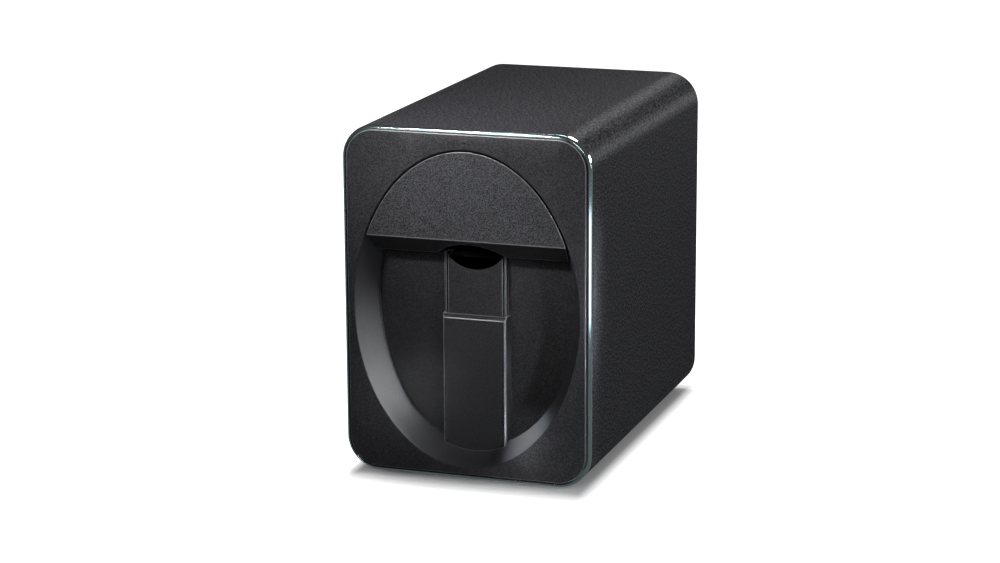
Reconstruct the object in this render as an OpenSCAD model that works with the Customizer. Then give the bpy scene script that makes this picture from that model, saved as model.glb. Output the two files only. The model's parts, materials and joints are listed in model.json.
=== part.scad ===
// Desktop nail printer: a sleeve-shaped case with an elliptical finger dish in front,
// a sprung finger rest, and a two-axis inkjet engine inside.
// Frame: +Z up, the front faces -Y, origin at the middle of the footprint, on the table.
// Inside in_case() the y values count back from the mouth of the case and the z values
// up or down from its mid-height.

/* [Case] */
// Width of the case across the front
case_w = 132; // [128:1:170]
// Height of the case without its feet
case_h = 181.6; // [177:0.2:230]
// Depth of the case behind the trim ring's front edge
case_d = 204.5; // [196:0.5:260]
// Corner radius of the case
case_r = 17.5; // [14:0.5:18]
// Wall thickness of the sleeve
sleeve_wall = 2.2; // [1.8:0.1:2.6]

/* [Trim ring] */
// Width of the polished ring seen from the front
ring_w = 1.3; // [1:0.1:2]
// Chamfer on the ring's outer front edge
ring_chamfer = 1.0; // [0.4:0.1:1]
// Length of the ring in front of the sleeve
ring_l = 3.2; // [2.8:0.1:5]
// Length of the spigot that enters the sleeve
spigot_l = 3.0; // [2:0.5:5]
// Wall thickness of the spigot
spigot_wall = 1.2; // [1:0.1:2]

/* [Front panel] */
// Shadow gap between the ring and the front panel
panel_gap = 1.0; // [0.5:0.1:2]
// Thickness of the front panel
panel_t = 3.2; // [2.6:0.1:3.4]
// How far the front panel stands in front of the ring
panel_proud = 0.8; // [0.2:0.1:1.2]
// Bevel round the panel's edge and round the dish's mouth
panel_bevel = 0.4; // [0.2:0.1:0.8]
// Radius of the status light's hole
light_r = 0.5; // [0.4:0.1:1]
// Land between the status light's hole and the top of the dish
light_land = 3.2; // [2.9:0.1:4]

/* [Finger dish] */
// Land between the dish's mouth and the case's side
side_land = 5.6; // [5.2:0.1:8]
// Land between the dish's mouth and the case's top
top_land = 10.1; // [9.4:0.1:12]
// Land between the dish's mouth and the case's bottom
low_land = 5.7; // [5.2:0.1:8]
// Depth of the dish's leaning wall, from the panel's face to its inner rim
dish_depth = 16.4; // [15:0.2:17]
// How far the dish's wall leans in from its mouth to its rim
dish_taper = 7.15; // [5:0.05:9]
// How far the rim stands off the dish's floor
rim_gap = 3.0; // [2:0.25:3]
// Wall thickness of the dish
dish_wall = 2.2; // [1.6:0.1:2.4]
// Thickness of the bulkhead that forms the dish's floor
bulkhead_t = 2.6; // [2.2:0.1:4]

/* [Front cover] */
// Gap between the cover and the dish's wall
cover_gap = 1.0; // [0.5:0.1:1.5]
// Wall thickness of the cover
cover_wall = 2.4; // [1.6:0.1:3]
// Depth of the cover's lower front edge below the case's top
cover_edge_drop = 56.8; // [54.8:0.5:58.8]
// How far the cover's visor slopes down, and back, from that edge
visor_drop = 9; // [7:0.5:9]
// Radius of the finger arch in the visor
arch_r = 28.2; // [24:0.2:34]
// Depth of the finger arch's crown below the case's top
arch_top_drop = 59.1; // [58.8:0.1:60.8]
// Distance of each cover magnet inside the side of the dish's mouth
magnet_in = 21.4; // [21.4:0.1:24]
// Radius of a magnet
magnet_r = 3; // [2:0.25:3.25]
// Thickness of a magnet
magnet_t = 2; // [1:0.1:2.1]

/* [Finger rest] */
// Width of the finger rest
rest_w = 29.5; // [27:0.5:32]
// Depth of the finger rest's top edge below the case's top
rest_top_drop = 67.9; // [67.8:0.1:69.8]
// Radius of the trough that the finger lies in
trough_r = 19; // [17:0.5:24]
// Depth of the trough's lowest line below the finger rest's top edge
trough_depth = 6.5; // [5.5:0.1:7.4]
// Length of the finger rest behind its front face
rest_l = 51.5; // [48:0.5:56]
// Thickness of the finger rest's front plate
tongue_t = 3; // [2:0.5:3]
// How far the front plate's face stands in front of the dish's floor
tongue_proud = 4.1; // [3.6:0.1:4.5]
// Length of the front plate below its top edge
tongue_l = 55; // [50:1:58]
// How far the finger rest goes down
rest_travel = 10; // [6:0.5:10]
// Gap on each side of the finger rest in its slot
slot_gap = 0.9; // [0.5:0.1:1.2]
// Radius of the arch over the finger slot
slot_arch_r = 29; // [26:0.5:34]
// Depth of the crown of that arch below the case's top
slot_top_drop = 63.4; // [62.8:0.1:63.4]
// Thickness of the soft pad in the trough
pad_t = 1.5; // [1:0.1:2]
// Radius of the two posts that guide the finger rest
post_r = 2; // [1.5:0.1:2.5]
// Outer radius of the return spring
spring_r = 4.5; // [4:0.25:6]
// Radius of the spring's wire
spring_wire_r = 0.45; // [0.3:0.05:0.5]
// Number of turns of the spring
spring_turns = 6; // [4:1:8]

/* [Finger guide] */
// Width of the guide's base on the dish's floor
guide_w = 36.0; // [36:0.2:40]
// How far the guide stands out from the dish's floor
guide_h = 6.8; // [6.4:0.1:8]
// Radius of the guide's rounded long edges
guide_edge_r = 1.5; // [1:0.1:2]
// Depth of the guide's top edge below the finger rest's top edge
guide_top_drop = 30.4; // [29:0.1:32]
// Wall thickness of the guide in front of the finger rest
guide_wall = 2.3; // [1.8:0.1:2.3]
// Width of the rail on each side of the finger rest, above the guide
rail_w = 1.0; // [0.8:0.1:1.4]

/* [Print engine] */
// Thickness of the frame's folded sheet
sheet_t = 1.5; // [1:0.1:2]
// Radius of every guide rod
rod_r = 3; // [2.5:0.1:3]
// Depth of the two lengthwise rods below the case's top
long_rod_drop = 46.8; // [45.8:0.5:47.8]
// Depth of the lower cross rod below the case's top
low_rod_drop = 36.8; // [36.3:0.5:37.3]
// Depth of the upper cross rod below the case's top
high_rod_drop = 18.8; // [18.8:0.1:19.3]
// Travel of the gantry, front to back
gantry_travel = 26; // [15:1:28]
// Width of each gantry end block
block_w = 11; // [10:0.5:12]
// Length of each gantry end block
block_l = 22; // [20.5:0.5:24]
// Width of the print carriage
carriage_w = 38; // [38:0.5:39]
// Wall thickness of the print carriage
carriage_wall = 2.2; // [1.6:0.1:2.4]
// Depth of the print nozzles below the case's top
nozzle_drop = 59.3; // [57.8:0.1:59.3]
// Length of the ink cartridge
cartridge_l = 42; // [38:0.5:43]
// Height of the ink cartridge without its snout
cartridge_h = 32; // [28:0.5:34]
// Radius of the belt pulleys' drums
pulley_r = 4; // [3.5:0.1:4.2]
// Width of the drive belt
belt_w = 5; // [4:0.5:5]
// Thickness of the drive belt
belt_t = 1.2; // [0.8:0.1:1.4]
// Side of the cross motor's square body
cross_motor_w = 24; // [20:1:24]
// Side of the lengthwise motor's square body
long_motor_w = 28; // [24:1:30]
// How far the cartridge latch swings, in degrees
latch_swing = 30; // [20:1:32]

/* [Back] */
// Thickness of the rear panel
rear_t = 2.5; // [2:0.1:3]
// How far the rear panel lies inside the sleeve's end
rear_recess = 1.5; // [1.4:0.1:3]
// Number of ventilation slots
vent_count = 8; // [4:1:10]
// Length of a ventilation slot
vent_l = 60; // [40:1:80]
// Radius of the power button
button_r = 5.5; // [4:0.25:6]
// Travel of the power button
button_travel = 1; // [0.6:0.1:1.1]

/* [Feet and base] */
// Height of a rubber foot under the case
foot_h = 2; // [1.5:0.1:4]
// Radius of a rubber foot
foot_r = 7; // [5:0.5:8]
// Distance of a foot from the middle
foot_x = 34; // [30:0.5:36]

/* [Hidden] */
$fn = 64;

// Clearances: between pieces that move, between fixed pieces, and of a shaft in its bore
clear = 0.3;
seat = 0.1;
run = 0.05;
// Overlap of a cut past the face that it opens, and thickness of a hull's end slice
over = 1;
slice = 0.02;
// Steps round the dish's ellipse and round a rounded edge
dish_steps = 96;
edge_steps = 6;

// Colours
black_coat = "#303134";
black_plastic = "#2a2b2e";
dark_plastic = "#1d1e20";
polished = "#c9d3d4";
steel = "#b4b8bc";
zinc = "#9aa0a4";
brass_tone = "#c09a4a";
rubber_black = "#161617";
board_green = "#1f5b3a";
motor_black = "#26282b";
engine_grey = "#5a5f66";
ink_body = "#3a3f4a";

// Case, and the heights that are counted down from its top
mouth_y = -(case_d - panel_proud) / 2;
mid_z = foot_h + case_h / 2;
inner_w = case_w - 2 * sleeve_wall;
inner_h = case_h - 2 * sleeve_wall;
inner_r = case_r - sleeve_wall;
floor_z = -inner_h / 2;
top_z = case_h / 2;
cover_edge_z = top_z - cover_edge_drop;
arch_top_z = top_z - arch_top_drop;
rest_top_z = top_z - rest_top_drop;
trough_z = rest_top_z - trough_depth;
slot_top_z = top_z - slot_top_drop;
guide_top_z = rest_top_z - guide_top_drop;
long_rod_z = top_z - long_rod_drop;
low_rod_z = top_z - low_rod_drop;
high_rod_z = top_z - high_rod_drop;
nozzle_z = top_z - nozzle_drop;

// Front panel and ring
panel_in = ring_w + panel_gap;
panel_back = panel_t - panel_proud;
panel_w = case_w - 2 * panel_in;
panel_h = case_h - 2 * panel_in;
panel_r = case_r - panel_in;
edge_band = 6;
spigot_in = sleeve_wall + clear;
light_z = top_z - top_land + light_land;
lens_flange_r = 2;
lens_flange_t = 1.2;
status_board_t = 1.2;

// Dish and bulkhead
dish_a = case_w / 2 - side_land;
dish_b = (case_h - top_land - low_land) / 2;
dish_drop = (top_land - low_land) / 2;
rim_y = dish_depth - panel_proud;
rim_undercut = 1.2;
dish_y = rim_y + rim_gap;
bulkhead_back = dish_y + bulkhead_t;
bulkhead_gap = 0.4;

// Tie screws, shared by the front and the rear
tie_in_x = 11.8;
tie_in_z = 22.6;
tie_x = inner_w / 2 - tie_in_x;
tie_z = inner_h / 2 - tie_in_z;
tie_r = 1.5;
tie_head_r = 2.8;
tie_head_t = 1.4;
tie_boss_r = 3.5;
tie_depth = 10;
tab_half = 6;

// Cover
cover_back = dish_y - clear;
visor_z = cover_edge_z - visor_drop;
visor_y = visor_drop - panel_proud + 0.3;
arch_axis_z = arch_top_z - arch_r;
magnet_x = dish_a - magnet_in;
magnet_boss_r = magnet_r + 1.2;
boss_root = 0.8;
magnet_z = visor_z + cover_wall + magnet_boss_r - boss_root;
access_r = 40;
access_axis_in = 6;
access_low_in = 4;
access_axis_z = cover_edge_z - access_axis_in;
access_z = cover_edge_z + access_low_in;

// Finger rest
tongue_y = dish_y - tongue_proud;
tongue_back = tongue_y + tongue_t;
rest_back = tongue_y + rest_l;
trough_axis_z = trough_z + trough_r;
cradle_t = 10.4;
cradle_z = trough_z - cradle_t;
boss_l = 10;
boss_r = 4.5;
post_top_z = cradle_z - 3;
bore_top_z = post_top_z + rest_travel + over;
deck_z = cradle_z - boss_l - rest_travel - 4;
deck_back = rest_back - 1;
deck_flange = 10;
front_post_y = bulkhead_back + boss_r + 2;
back_post_y = rest_back - boss_r - 4;
spring_y = (front_post_y + back_post_y) / 2;
pad_front_in = 12.5;
pad_back_in = 4.5;
pad_front_y = tongue_y + pad_front_in;
pad_back_y = rest_back - pad_back_in;
stop_t = 3;
stop_half = 9;
stop_h = 4.1;
stop_top_z = rest_top_z + stop_h;
slot_half = rest_w / 2 + slot_gap;
slot_low_z = rest_top_z - tongue_l - rest_travel - over;
slot_arch_z = slot_top_z - slot_arch_r;

// Finger guide
guide_y = dish_y - guide_h;
guide_lean = 0.9;
guide_side_turn = 9;
guide_top_bevel = 2;
rail_y = tongue_y + 0.2;
rail_top_z = visor_z - clear;

// Frame of the print engine
side_gap = 2.1;
side_out = inner_w / 2 - side_gap;
side_in = side_out - sheet_t;
head_room = 10.6;
side_top_z = inner_h / 2 - head_room;
shelf_room = 18;
shelf_z = shelf_room - inner_h / 2;
leg_in = 17.8;
leg_x = inner_w / 2 - leg_in;
leg_flange = 12;
base_half = leg_x + 1;
base_top_z = floor_z + sheet_t;
rear_y = case_d - rear_recess - rear_t;
rear_face_y = rear_y + rear_t;

// The latch has room to swing behind the bulkhead; cartridge, carriage and cross rods follow it
latch_pin_r = 1.5;
latch_half = 9;
latch_t = 2.2;
latch_l = 18;
latch_lip = 0.6;
latch_play = 1.2;
latch_y = bulkhead_back + latch_l * sin(latch_swing) + latch_t + latch_lip;
carriage_lip = 4;
carriage_y = latch_y - carriage_lip;
cartridge_y = latch_y + latch_pin_r + over + latch_play;
cartridge_back = cartridge_y + cartridge_l;
carriage_back = cartridge_back + carriage_wall + seat;
rod_offset = 6;
cross_rod_y = carriage_back + rod_offset;

// Gantry, with its place at rest
block_out = side_in - 0.7;
block_in = block_out - block_w;
long_rod_x = (block_in + block_out) / 2;
bushing_t = 2;
bushing_l = 6;
block_front = 8;
block_y = cross_rod_y - block_front;
block_back = block_y + block_l;
block_under = 7;
block_over = 5;
block_low_z = long_rod_z - block_under;
block_high_z = high_rod_z + block_over;
plate_t = 2;
plate_back = block_back + plate_t;
socket_l = 10;
socket_r = rod_r + 2.5;
rod_front_y = bulkhead_back + over;
screw_r = rod_r;
screw_tip_y = block_back + 0.5;
nut_r = 6.5;
nut_flange_r = 9;
nut_l = 10;
bracket_room = 14;
bracket_y = plate_back + nut_l + gantry_travel + bracket_room;
bracket_back = bracket_y + plate_t;
bracket_half = 11;
bracket_flange = 12;
journal_r = screw_r - 0.5;
shoulder_r = screw_r + 1.5;
shoulder_t = 2.5;
journal_l = 6;

// Belt drive
flange_r = pulley_r + 1.5;
flange_t = 0.7;
pulley_x = block_in - over - flange_r;
belt_drop = 24.8;
belt_z = top_z - belt_drop;
belt_in_r = pulley_r + 0.1;
belt_out_r = belt_in_r + belt_t;
belt_y = cross_rod_y + 7.5;
belt_back = belt_y + belt_w;
axle_r = 1.5;
cross_motor_l = 18;
long_motor_l = 22;
motor_boss_r = 3.5;
motor_corner = 3;

// Carriage, cartridge and latch, with the carriage parked over its cap
park_x = block_in - 2.5 - carriage_w / 2;
snout_h = 6.1;
carriage_floor_z = nozzle_z + snout_h;
latch_up = 6;
latch_z = carriage_floor_z + latch_up;
bed_z = carriage_floor_z + carriage_wall - 0.1;
cartridge_half = carriage_w / 2 - carriage_wall - clear;
snout_half = 8;
snout_y = cartridge_y + 3;
snout_l = 24;
clamp_half = 5;
jaw_t = 2;
clamp_t = 3;
rod_wall = 4;
head_h = 4;
brow_l = 8;
cheek_l = 20;
cheek_h = 22;
lip_h = 12;
cartridge_bevel = 4;

// Cap
cap_arm_x = block_in + 1;
cap_arm_w = 5;
cap_drop = 5.5;
cap_tray_z = nozzle_z - cap_drop;
cap_tray_t = 3;
cap_rim = 2;
cap_half_l = 11;
seal_l = 14;
seal_lip = 1.5;
seal_r = 2;
cap_mid_y = snout_y + snout_l / 2;

// Camera and lights
bar_half = 9;
camera_in = 32.8;
camera_y = bulkhead_back + camera_in;
lens_hole_r = 4.2;
camera_half = 4.5;
camera_h = 3.6;
camera_board_t = 1.2;
light_gap = 1.6;
light_half = 18;
light_h = 6;
lamp_pitch = 7;
lamp_r = 1.5;
lamp_t = 1.4;

// Back, board and sockets
board_t = 1.6;
board_half = 28;
board_l = 100;
standoff_h = 7;
standoff_r = 2.5;
board_z = base_top_z + standoff_h;
board_top_z = board_z + board_t;
board_back = rear_y - 2;
board_front = board_back - board_l;
hole_in = 5;
// Chips on the main board: x, y from the board's front edge, width, length and height
chips = [[-12, 22, 18, 18, 2.4], [14, 26, 10, 10, 1.8]];
part_row_x = -19;
part_count = 4;
can_r = 3;
can_h = 9;
can_pitch = 9;
can_y = 54;
plug_w = 8;
plug_l = 6;
plug_h = 6;
plug_pitch = 10;
plug_y = 4;
socket_h = 11;
socket_back = 4;
dc_x = -19;
dc_w = 9;
dc_l = 14;
dc_bore_r = 2.9;
dc_pin_r = 0.9;
usb_x = 8;
usb_w = 12;
usb_l = 16;
usb_hole_w = 8.6;
usb_hole_h = 7.9;
port_y = rear_face_y - 0.4;
button_x = 30;
button_up = 16.6;
button_z = shelf_z + button_up;
button_proud = button_travel + 0.2;
button_l = 8;
switch_wall = 1.6;
switch_room = 3.1;
switch_l = button_l - button_proud - rear_t + button_travel + switch_room + switch_wall;
vent_h = 2.4;
vent_pitch = 5.4;
vent_low_z = 6;
foot_stud_r = 2.2;
foot_front_in = 2.8;
foot_back_in = 15;
foot_front_y = bulkhead_back + foot_stud_r + foot_front_in;
foot_back_y = case_d - foot_r - foot_back_in;

// ---------------------------------------------------------------- shared shapes

module in_case() translate([0, mouth_y, mid_z]) children();

// A box between two corners
module box(lo, hi) translate(lo) cube(hi - lo);

// A flat outline in x and z, drawn out from y0 to y1
module along_y(y0, y1) translate([0, y1, 0]) rotate([90, 0, 0]) linear_extrude(y1 - y0) children();

// A flat outline in y and z, drawn out from x0 to x1
module along_x(x0, x1)
    translate([x0, 0, 0]) rotate([90, 0, 90]) linear_extrude(x1 - x0) children();

module rod_y(x, z, r, y0, y1) translate([x, y0, z]) rotate([-90, 0, 0]) cylinder(r = r, h = y1 - y0);

module rod_x(y, z, r, x0, x1) translate([x0, y, z]) rotate([0, 90, 0]) cylinder(r = r, h = x1 - x0);

module rod_z(x, y, r, z0, z1) translate([x, y, z0]) cylinder(r = r, h = z1 - z0);

module both_sides() {
    children();
    mirror([1, 0, 0]) children();
}

module four_corners() {
    both_sides() children();
    mirror([0, 0, 1]) both_sides() children();
}

// A rectangle with round corners, centred
module rounded(w, h, r) {
    square([w - 2 * r, h], center = true);
    square([w, h - 2 * r], center = true);
    for (x = [-1, 1], z = [-1, 1]) translate([x * (w / 2 - r), z * (h / 2 - r)]) circle(r);
}

// A straight slot with round ends, centred, lying along x
module slot(l, h) {
    square([l - h, h], center = true);
    for (x = [-1, 1]) translate([x * (l - h) / 2, 0]) circle(h / 2);
}

// A profile led once round a rounded rectangle. Its x is the distance outside the
// rectangle's outline and its y is the case's y.
module led_round(w, h, r) {
    four_corners() {
        translate([w / 2 - r, 0, -(h / 2 - r)])
            rotate([-90, 0, 0])
                rotate_extrude(angle = 90) translate([r, 0]) children();
    }
    both_sides()
        translate([w / 2, 0, -(h / 2 - r)]) linear_extrude(h - 2 * r) children();
    for (up = [0, 1]) mirror([0, 0, up])
        translate([-(w / 2 - r), 0, -h / 2])
            rotate([0, 90, 0]) linear_extrude(w - 2 * r) children();
}

// How far the dish's wall has leaned in at depth y
function lean_at(y) = dish_taper * (y + panel_proud) / dish_depth;

// One thin elliptical slice of the dish, reaching from y in the direction of side
module dish_slice(y, grow, side)
    translate([0, y, -dish_drop])
        rotate([-90 * side, 0, 0])
            linear_extrude(slice)
                scale([dish_a - lean_at(y) + grow, dish_b - lean_at(y) + grow])
                    circle(1, $fn = dish_steps);

// The dish's leaning hollow from y0 to y1, grown or shrunk all round
module dish_hollow(y0, y1, grow) hull() {
    dish_slice(y0, grow, 1);
    dish_slice(y1, grow, -1);
}

// Points of a round corner of radius r about a centre, between two angles
function round_corner(c, r, a0, a1) =
    [for (i = [0 : edge_steps]) let (a = a0 + (a1 - a0) * i / edge_steps) c + r * [cos(a), sin(a)]];

// A motor body with cut corners, its axis along y
module motor_body(x, z, w, y0, y1)
    translate([x, 0, z]) along_y(y0, y1) intersection() {
        square(w, center = true);
        rotate(45) square(w * sqrt(2) - motor_corner, center = true);
    }

// ---------------------------------------------------------------- case

module outer_sleeve() color(black_coat) in_case() difference() {
    along_y(ring_l, case_d) difference() {
        rounded(case_w, case_h, case_r);
        rounded(inner_w, inner_h, inner_r);
    }
    foot_holes(floor_z - sleeve_wall - over, floor_z + over);
}

module foot_holes(z0, z1)
    for (x = [-foot_x, foot_x], y = [foot_front_y, foot_back_y]) rod_z(x, y, foot_stud_r + seat, z0, z1);

module front_trim_ring() color(polished) in_case()
    led_round(case_w, case_h, case_r) polygon([
        [-ring_w, 0],
        [-ring_chamfer, 0],
        [0, ring_chamfer],
        [0, ring_l],
        [-spigot_in, ring_l],
        [-spigot_in, ring_l + spigot_l],
        [-spigot_in - spigot_wall, ring_l + spigot_l],
        [-spigot_in - spigot_wall, panel_back],
        [-ring_w, panel_back]
    ]);

// The front panel and the dish's leaning wall are one moulding, undercut behind the rim
module front_fascia() color(black_plastic) in_case() difference() {
    union() {
        along_y(-panel_proud, panel_back)
            rounded(panel_w - edge_band, panel_h - edge_band, panel_r - edge_band / 2);
        led_round(panel_w, panel_h, panel_r) polygon([
            [-edge_band, -panel_proud],
            [-panel_bevel, -panel_proud],
            [0, panel_bevel - panel_proud],
            [0, panel_back],
            [-edge_band, panel_back]
        ]);
        dish_hollow(0, dish_y, dish_wall);
        four_corners() rod_y(tie_x, tie_z, tie_boss_r, 0, dish_y);
    }
    dish_hollow(-panel_proud - over, dish_y + over, 0);
    dish_hollow(rim_y, dish_y + over, rim_undercut);
    hull() {
        dish_slice(-panel_proud - over, panel_bevel + over, 1);
        dish_slice(-panel_proud + panel_bevel, 0, -1);
    }
    rod_y(0, light_z, light_r, -panel_proud - over, panel_back + over);
    four_corners() rod_y(tie_x, tie_z, tie_r + run, dish_y - tie_depth, dish_y + over);
}

// The bulkhead closes the case's mouth, forms the dish's floor and carries the engine's front
module front_bulkhead() color(black_plastic) in_case() difference() {
    union() {
        along_y(dish_y, bulkhead_back) difference() {
            rounded(inner_w - 2 * bulkhead_gap, inner_h - 2 * bulkhead_gap, inner_r - bulkhead_gap);
            finger_slot_outline();
            access_outline();
        }
        both_sides()
            rod_y(long_rod_x, long_rod_z, socket_r, bulkhead_back, bulkhead_back + socket_l);
    }
    both_sides()
        rod_y(long_rod_x, long_rod_z, rod_r + run, rod_front_y, bulkhead_back + socket_l + over);
    four_corners() rod_y(tie_x, tie_z, tie_r + seat, dish_y - over, bulkhead_back + over);
    both_sides() rod_y(magnet_x, magnet_z, magnet_r + run, dish_y - over, dish_y + magnet_t);
}

module finger_slot_outline() {
    intersection() {
        translate([0, slot_arch_z]) circle(slot_arch_r);
        translate([-slot_half, 0]) square([2 * slot_half, slot_top_z + over]);
    }
    translate([-slot_half, slot_low_z]) square([2 * slot_half, over - slot_low_z]);
}

// The way in for the ink cartridge, behind the front cover
module access_outline() intersection() {
    translate([0, access_axis_z]) circle(access_r);
    translate([-access_r, access_z]) square([2 * access_r, access_r]);
}

// The fixed guide that the finger rest sinks into, and the rails beside the rest
module finger_guide() color(black_plastic) in_case() {
    guide_housing();
    both_sides()
        box([slot_half, rail_y, guide_top_z - over], [slot_half + rail_w, dish_y, rail_top_z]);
}

// The guide's housing, with its foot cut to the dish's wall
module guide_housing() difference() {
    intersection() {
        translate([0, 0, -dish_b - dish_drop]) linear_extrude(dish_b + dish_drop + guide_top_z)
            guide_outline();
        dish_hollow(guide_y - over, dish_y + over, -seat);
        along_x(-guide_w, guide_w) polygon([
            [dish_y + over, -dish_b - over * 3],
            [guide_y - over, -dish_b - over * 3],
            [guide_y - over, guide_top_z - guide_top_bevel - over],
            [guide_y + guide_top_bevel, guide_top_z],
            [dish_y + over, guide_top_z]
        ]);
    }
    box([-slot_half, guide_y + guide_wall, slot_low_z],
        [slot_half, dish_y + over, guide_top_z + over]);
}

module guide_outline() {
    half = guide_w / 2;
    front = half - guide_lean;
    corner = [front - guide_edge_r, guide_y + guide_edge_r];
    right = concat([[half, dish_y]], round_corner(corner, guide_edge_r, -guide_side_turn, -90));
    left = [for (i = [len(right) - 1 : -1 : 0]) [-right[i][0], right[i][1]]];
    polygon(concat(right, left));
}

// A light pipe with a flange behind the panel
module status_lens() color("ivory") in_case() {
    rod_y(0, light_z, light_r - run, -panel_proud, panel_back);
    rod_y(0, light_z, lens_flange_r, panel_back, panel_back + lens_flange_t);
}

module status_board() color(board_green) in_case() box(
    [-edge_band, panel_back + lens_flange_t, light_z - lens_flange_r + seat],
    [edge_band, panel_back + lens_flange_t + status_board_t, light_z + lens_flange_r]
);

module body_magnets() color(steel) in_case()
    both_sides() rod_y(magnet_x, magnet_z, magnet_r, dish_y + seat, dish_y + magnet_t);

// ---------------------------------------------------------------- front cover

// The half-ellipse plug that fills the top of the dish down to the visor
module cover_block() intersection() {
    dish_hollow(-panel_proud, cover_back, -cover_gap);
    along_x(-dish_a, dish_a) polygon([
        [-panel_proud, cover_edge_z],
        [visor_y, visor_z],
        [cover_back, visor_z],
        [cover_back, dish_b],
        [-panel_proud, dish_b]
    ]);
}

module cover_core() intersection() {
    dish_hollow(cover_wall - panel_proud, cover_back + over, -cover_gap - cover_wall);
    along_x(-dish_a, dish_a) polygon([
        [cover_wall - panel_proud, cover_edge_z + cover_wall / 2],
        [visor_y + cover_wall / 2, visor_z + cover_wall],
        [cover_back + over, visor_z + cover_wall],
        [cover_back + over, dish_b],
        [cover_wall - panel_proud, dish_b]
    ]);
}

// The core leaves a hood round the finger arch and a boss behind each magnet
module front_cover() color(black_plastic) in_case() difference() {
    cover_block();
    difference() {
        cover_core();
        rod_y(0, arch_axis_z, arch_r + cover_wall, -panel_proud, cover_back + over * 2);
        both_sides() rod_y(magnet_x, magnet_z, magnet_boss_r, -panel_proud, cover_back + over * 2);
    }
    rod_y(0, arch_axis_z, arch_r, -panel_proud - over, cover_back + over);
    both_sides() rod_y(magnet_x, magnet_z, magnet_r + run, cover_back - magnet_t, cover_back + over);
}

module cover_magnets() color(steel) in_case()
    both_sides() rod_y(magnet_x, magnet_z, magnet_r, cover_back - magnet_t, cover_back);

// ---------------------------------------------------------------- finger rest

module finger_rest() color(black_plastic) in_case() difference() {
    union() {
        box([-rest_w / 2, tongue_y, rest_top_z - tongue_l], [rest_w / 2, tongue_back, rest_top_z]);
        box([-rest_w / 2, tongue_y, cradle_z], [rest_w / 2, rest_back, rest_top_z]);
        box([-stop_half, rest_back - stop_t, cradle_z], [stop_half, rest_back, stop_top_z]);
        for (y = [front_post_y, back_post_y]) rod_z(0, y, boss_r, cradle_z - boss_l, cradle_z + over);
    }
    rod_y(0, trough_axis_z, trough_r, tongue_y - over, rest_back - stop_t);
    for (y = [front_post_y, back_post_y])
        rod_z(0, y, post_r + run, cradle_z - boss_l - over, min(bore_top_z, trough_z - over));
}

// A soft pad that follows the trough
module finger_pad() color(rubber_black) in_case() intersection() {
    along_y(pad_front_y, pad_back_y) difference() {
        translate([0, trough_axis_z]) circle(trough_r);
        translate([0, trough_axis_z]) circle(trough_r - pad_t);
    }
    box([-rest_w / 2 + pad_t, pad_front_y, trough_z - over],
        [rest_w / 2 - pad_t, pad_back_y, rest_top_z - pad_t]);
}

module rest_deck() color(zinc) in_case() {
    box([-side_in, bulkhead_back + over, deck_z - sheet_t], [side_in, deck_back, deck_z]);
    both_sides() box(
        [side_in - sheet_t, bulkhead_back + over, deck_z - sheet_t - deck_flange],
        [side_in, deck_back, deck_z]
    );
}

module rest_posts() color(steel) in_case()
    for (y = [front_post_y, back_post_y])
        rod_z(0, y, post_r, deck_z, min(post_top_z, trough_z - over * 2 - rest_travel));

// The return spring: one unbroken tube along a helix between the deck and the cradle
module rest_spring() color(steel) in_case() {
    rings = spring_turns * 12;
    sides = 6;
    coil_r = spring_r - spring_wire_r;
    low = deck_z + spring_wire_r + seat;
    rise = cradle_z - spring_wire_r - seat - low;
    points = [for (i = [0 : rings], k = [0 : sides - 1])
        let (turn = 360 * spring_turns * i / rings, lean = 360 * k / sides)
        let (out = coil_r + spring_wire_r * cos(lean), up = spring_wire_r * sin(lean))
        [out * cos(turn), spring_y + out * sin(turn), low + rise * i / rings + up]];
    walls = [for (i = [0 : rings - 1], k = [0 : sides - 1], half = [0, 1])
        let (a = i * sides + k, b = i * sides + (k + 1) % sides)
        half == 0 ? [a, a + sides, b] : [b, a + sides, b + sides]];
    caps = [for (k = [1 : sides - 2], end = [0, 1])
        end == 0 ? [0, k, k + 1] : [rings * sides, rings * sides + k + 1, rings * sides + k]];
    polyhedron(points, concat(walls, caps));
}

// ---------------------------------------------------------------- frame

// A folded side plate: wall, shelf, leg and foot, with a tab for each tie screw
module side_plate() difference() {
    union() {
        along_y(bulkhead_back, rear_y) polygon([
            [side_out, side_top_z],
            [side_out, shelf_z],
            [leg_x, shelf_z],
            [leg_x, base_top_z],
            [leg_x - leg_flange, base_top_z],
            [leg_x - leg_flange, base_top_z + sheet_t],
            [leg_x - sheet_t, base_top_z + sheet_t],
            [leg_x - sheet_t, shelf_z + sheet_t],
            [side_in, shelf_z + sheet_t],
            [side_in, side_top_z]
        ]);
        for (y = [bulkhead_back, rear_y - sheet_t], z = [-tie_z, tie_z]) box(
            [tie_x - tab_half, y, z - tab_half],
            [side_out, y + sheet_t, z + tab_half]
        );
    }
    for (z = [-tie_z, tie_z]) rod_y(tie_x, z, tie_r + seat, bulkhead_back - over, rear_y + over);
}

module side_plate_right() color(zinc) in_case() side_plate();

module side_plate_left() color(zinc) in_case() mirror([1, 0, 0]) side_plate();

module base_plate() color(zinc) in_case() difference() {
    box([-base_half, bulkhead_back + over, floor_z], [base_half, rear_y - over, base_top_z]);
    foot_holes(floor_z - over, base_top_z + over);
}

module rubber_feet() color(rubber_black) in_case()
    for (x = [-foot_x, foot_x], y = [foot_front_y, foot_back_y]) {
        rod_z(x, y, foot_r, floor_z - sleeve_wall - foot_h, floor_z - sleeve_wall);
        rod_z(x, y, foot_stud_r, floor_z - sleeve_wall - foot_h, base_top_z);
    }

module tie_screw(y, head_y, head_t, tip_y) {
    rod_y(tie_x, tie_z, tie_r, min(tip_y, y), max(tip_y, y));
    rod_y(tie_x, tie_z, tie_head_r, head_y, head_y + head_t);
}

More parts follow.
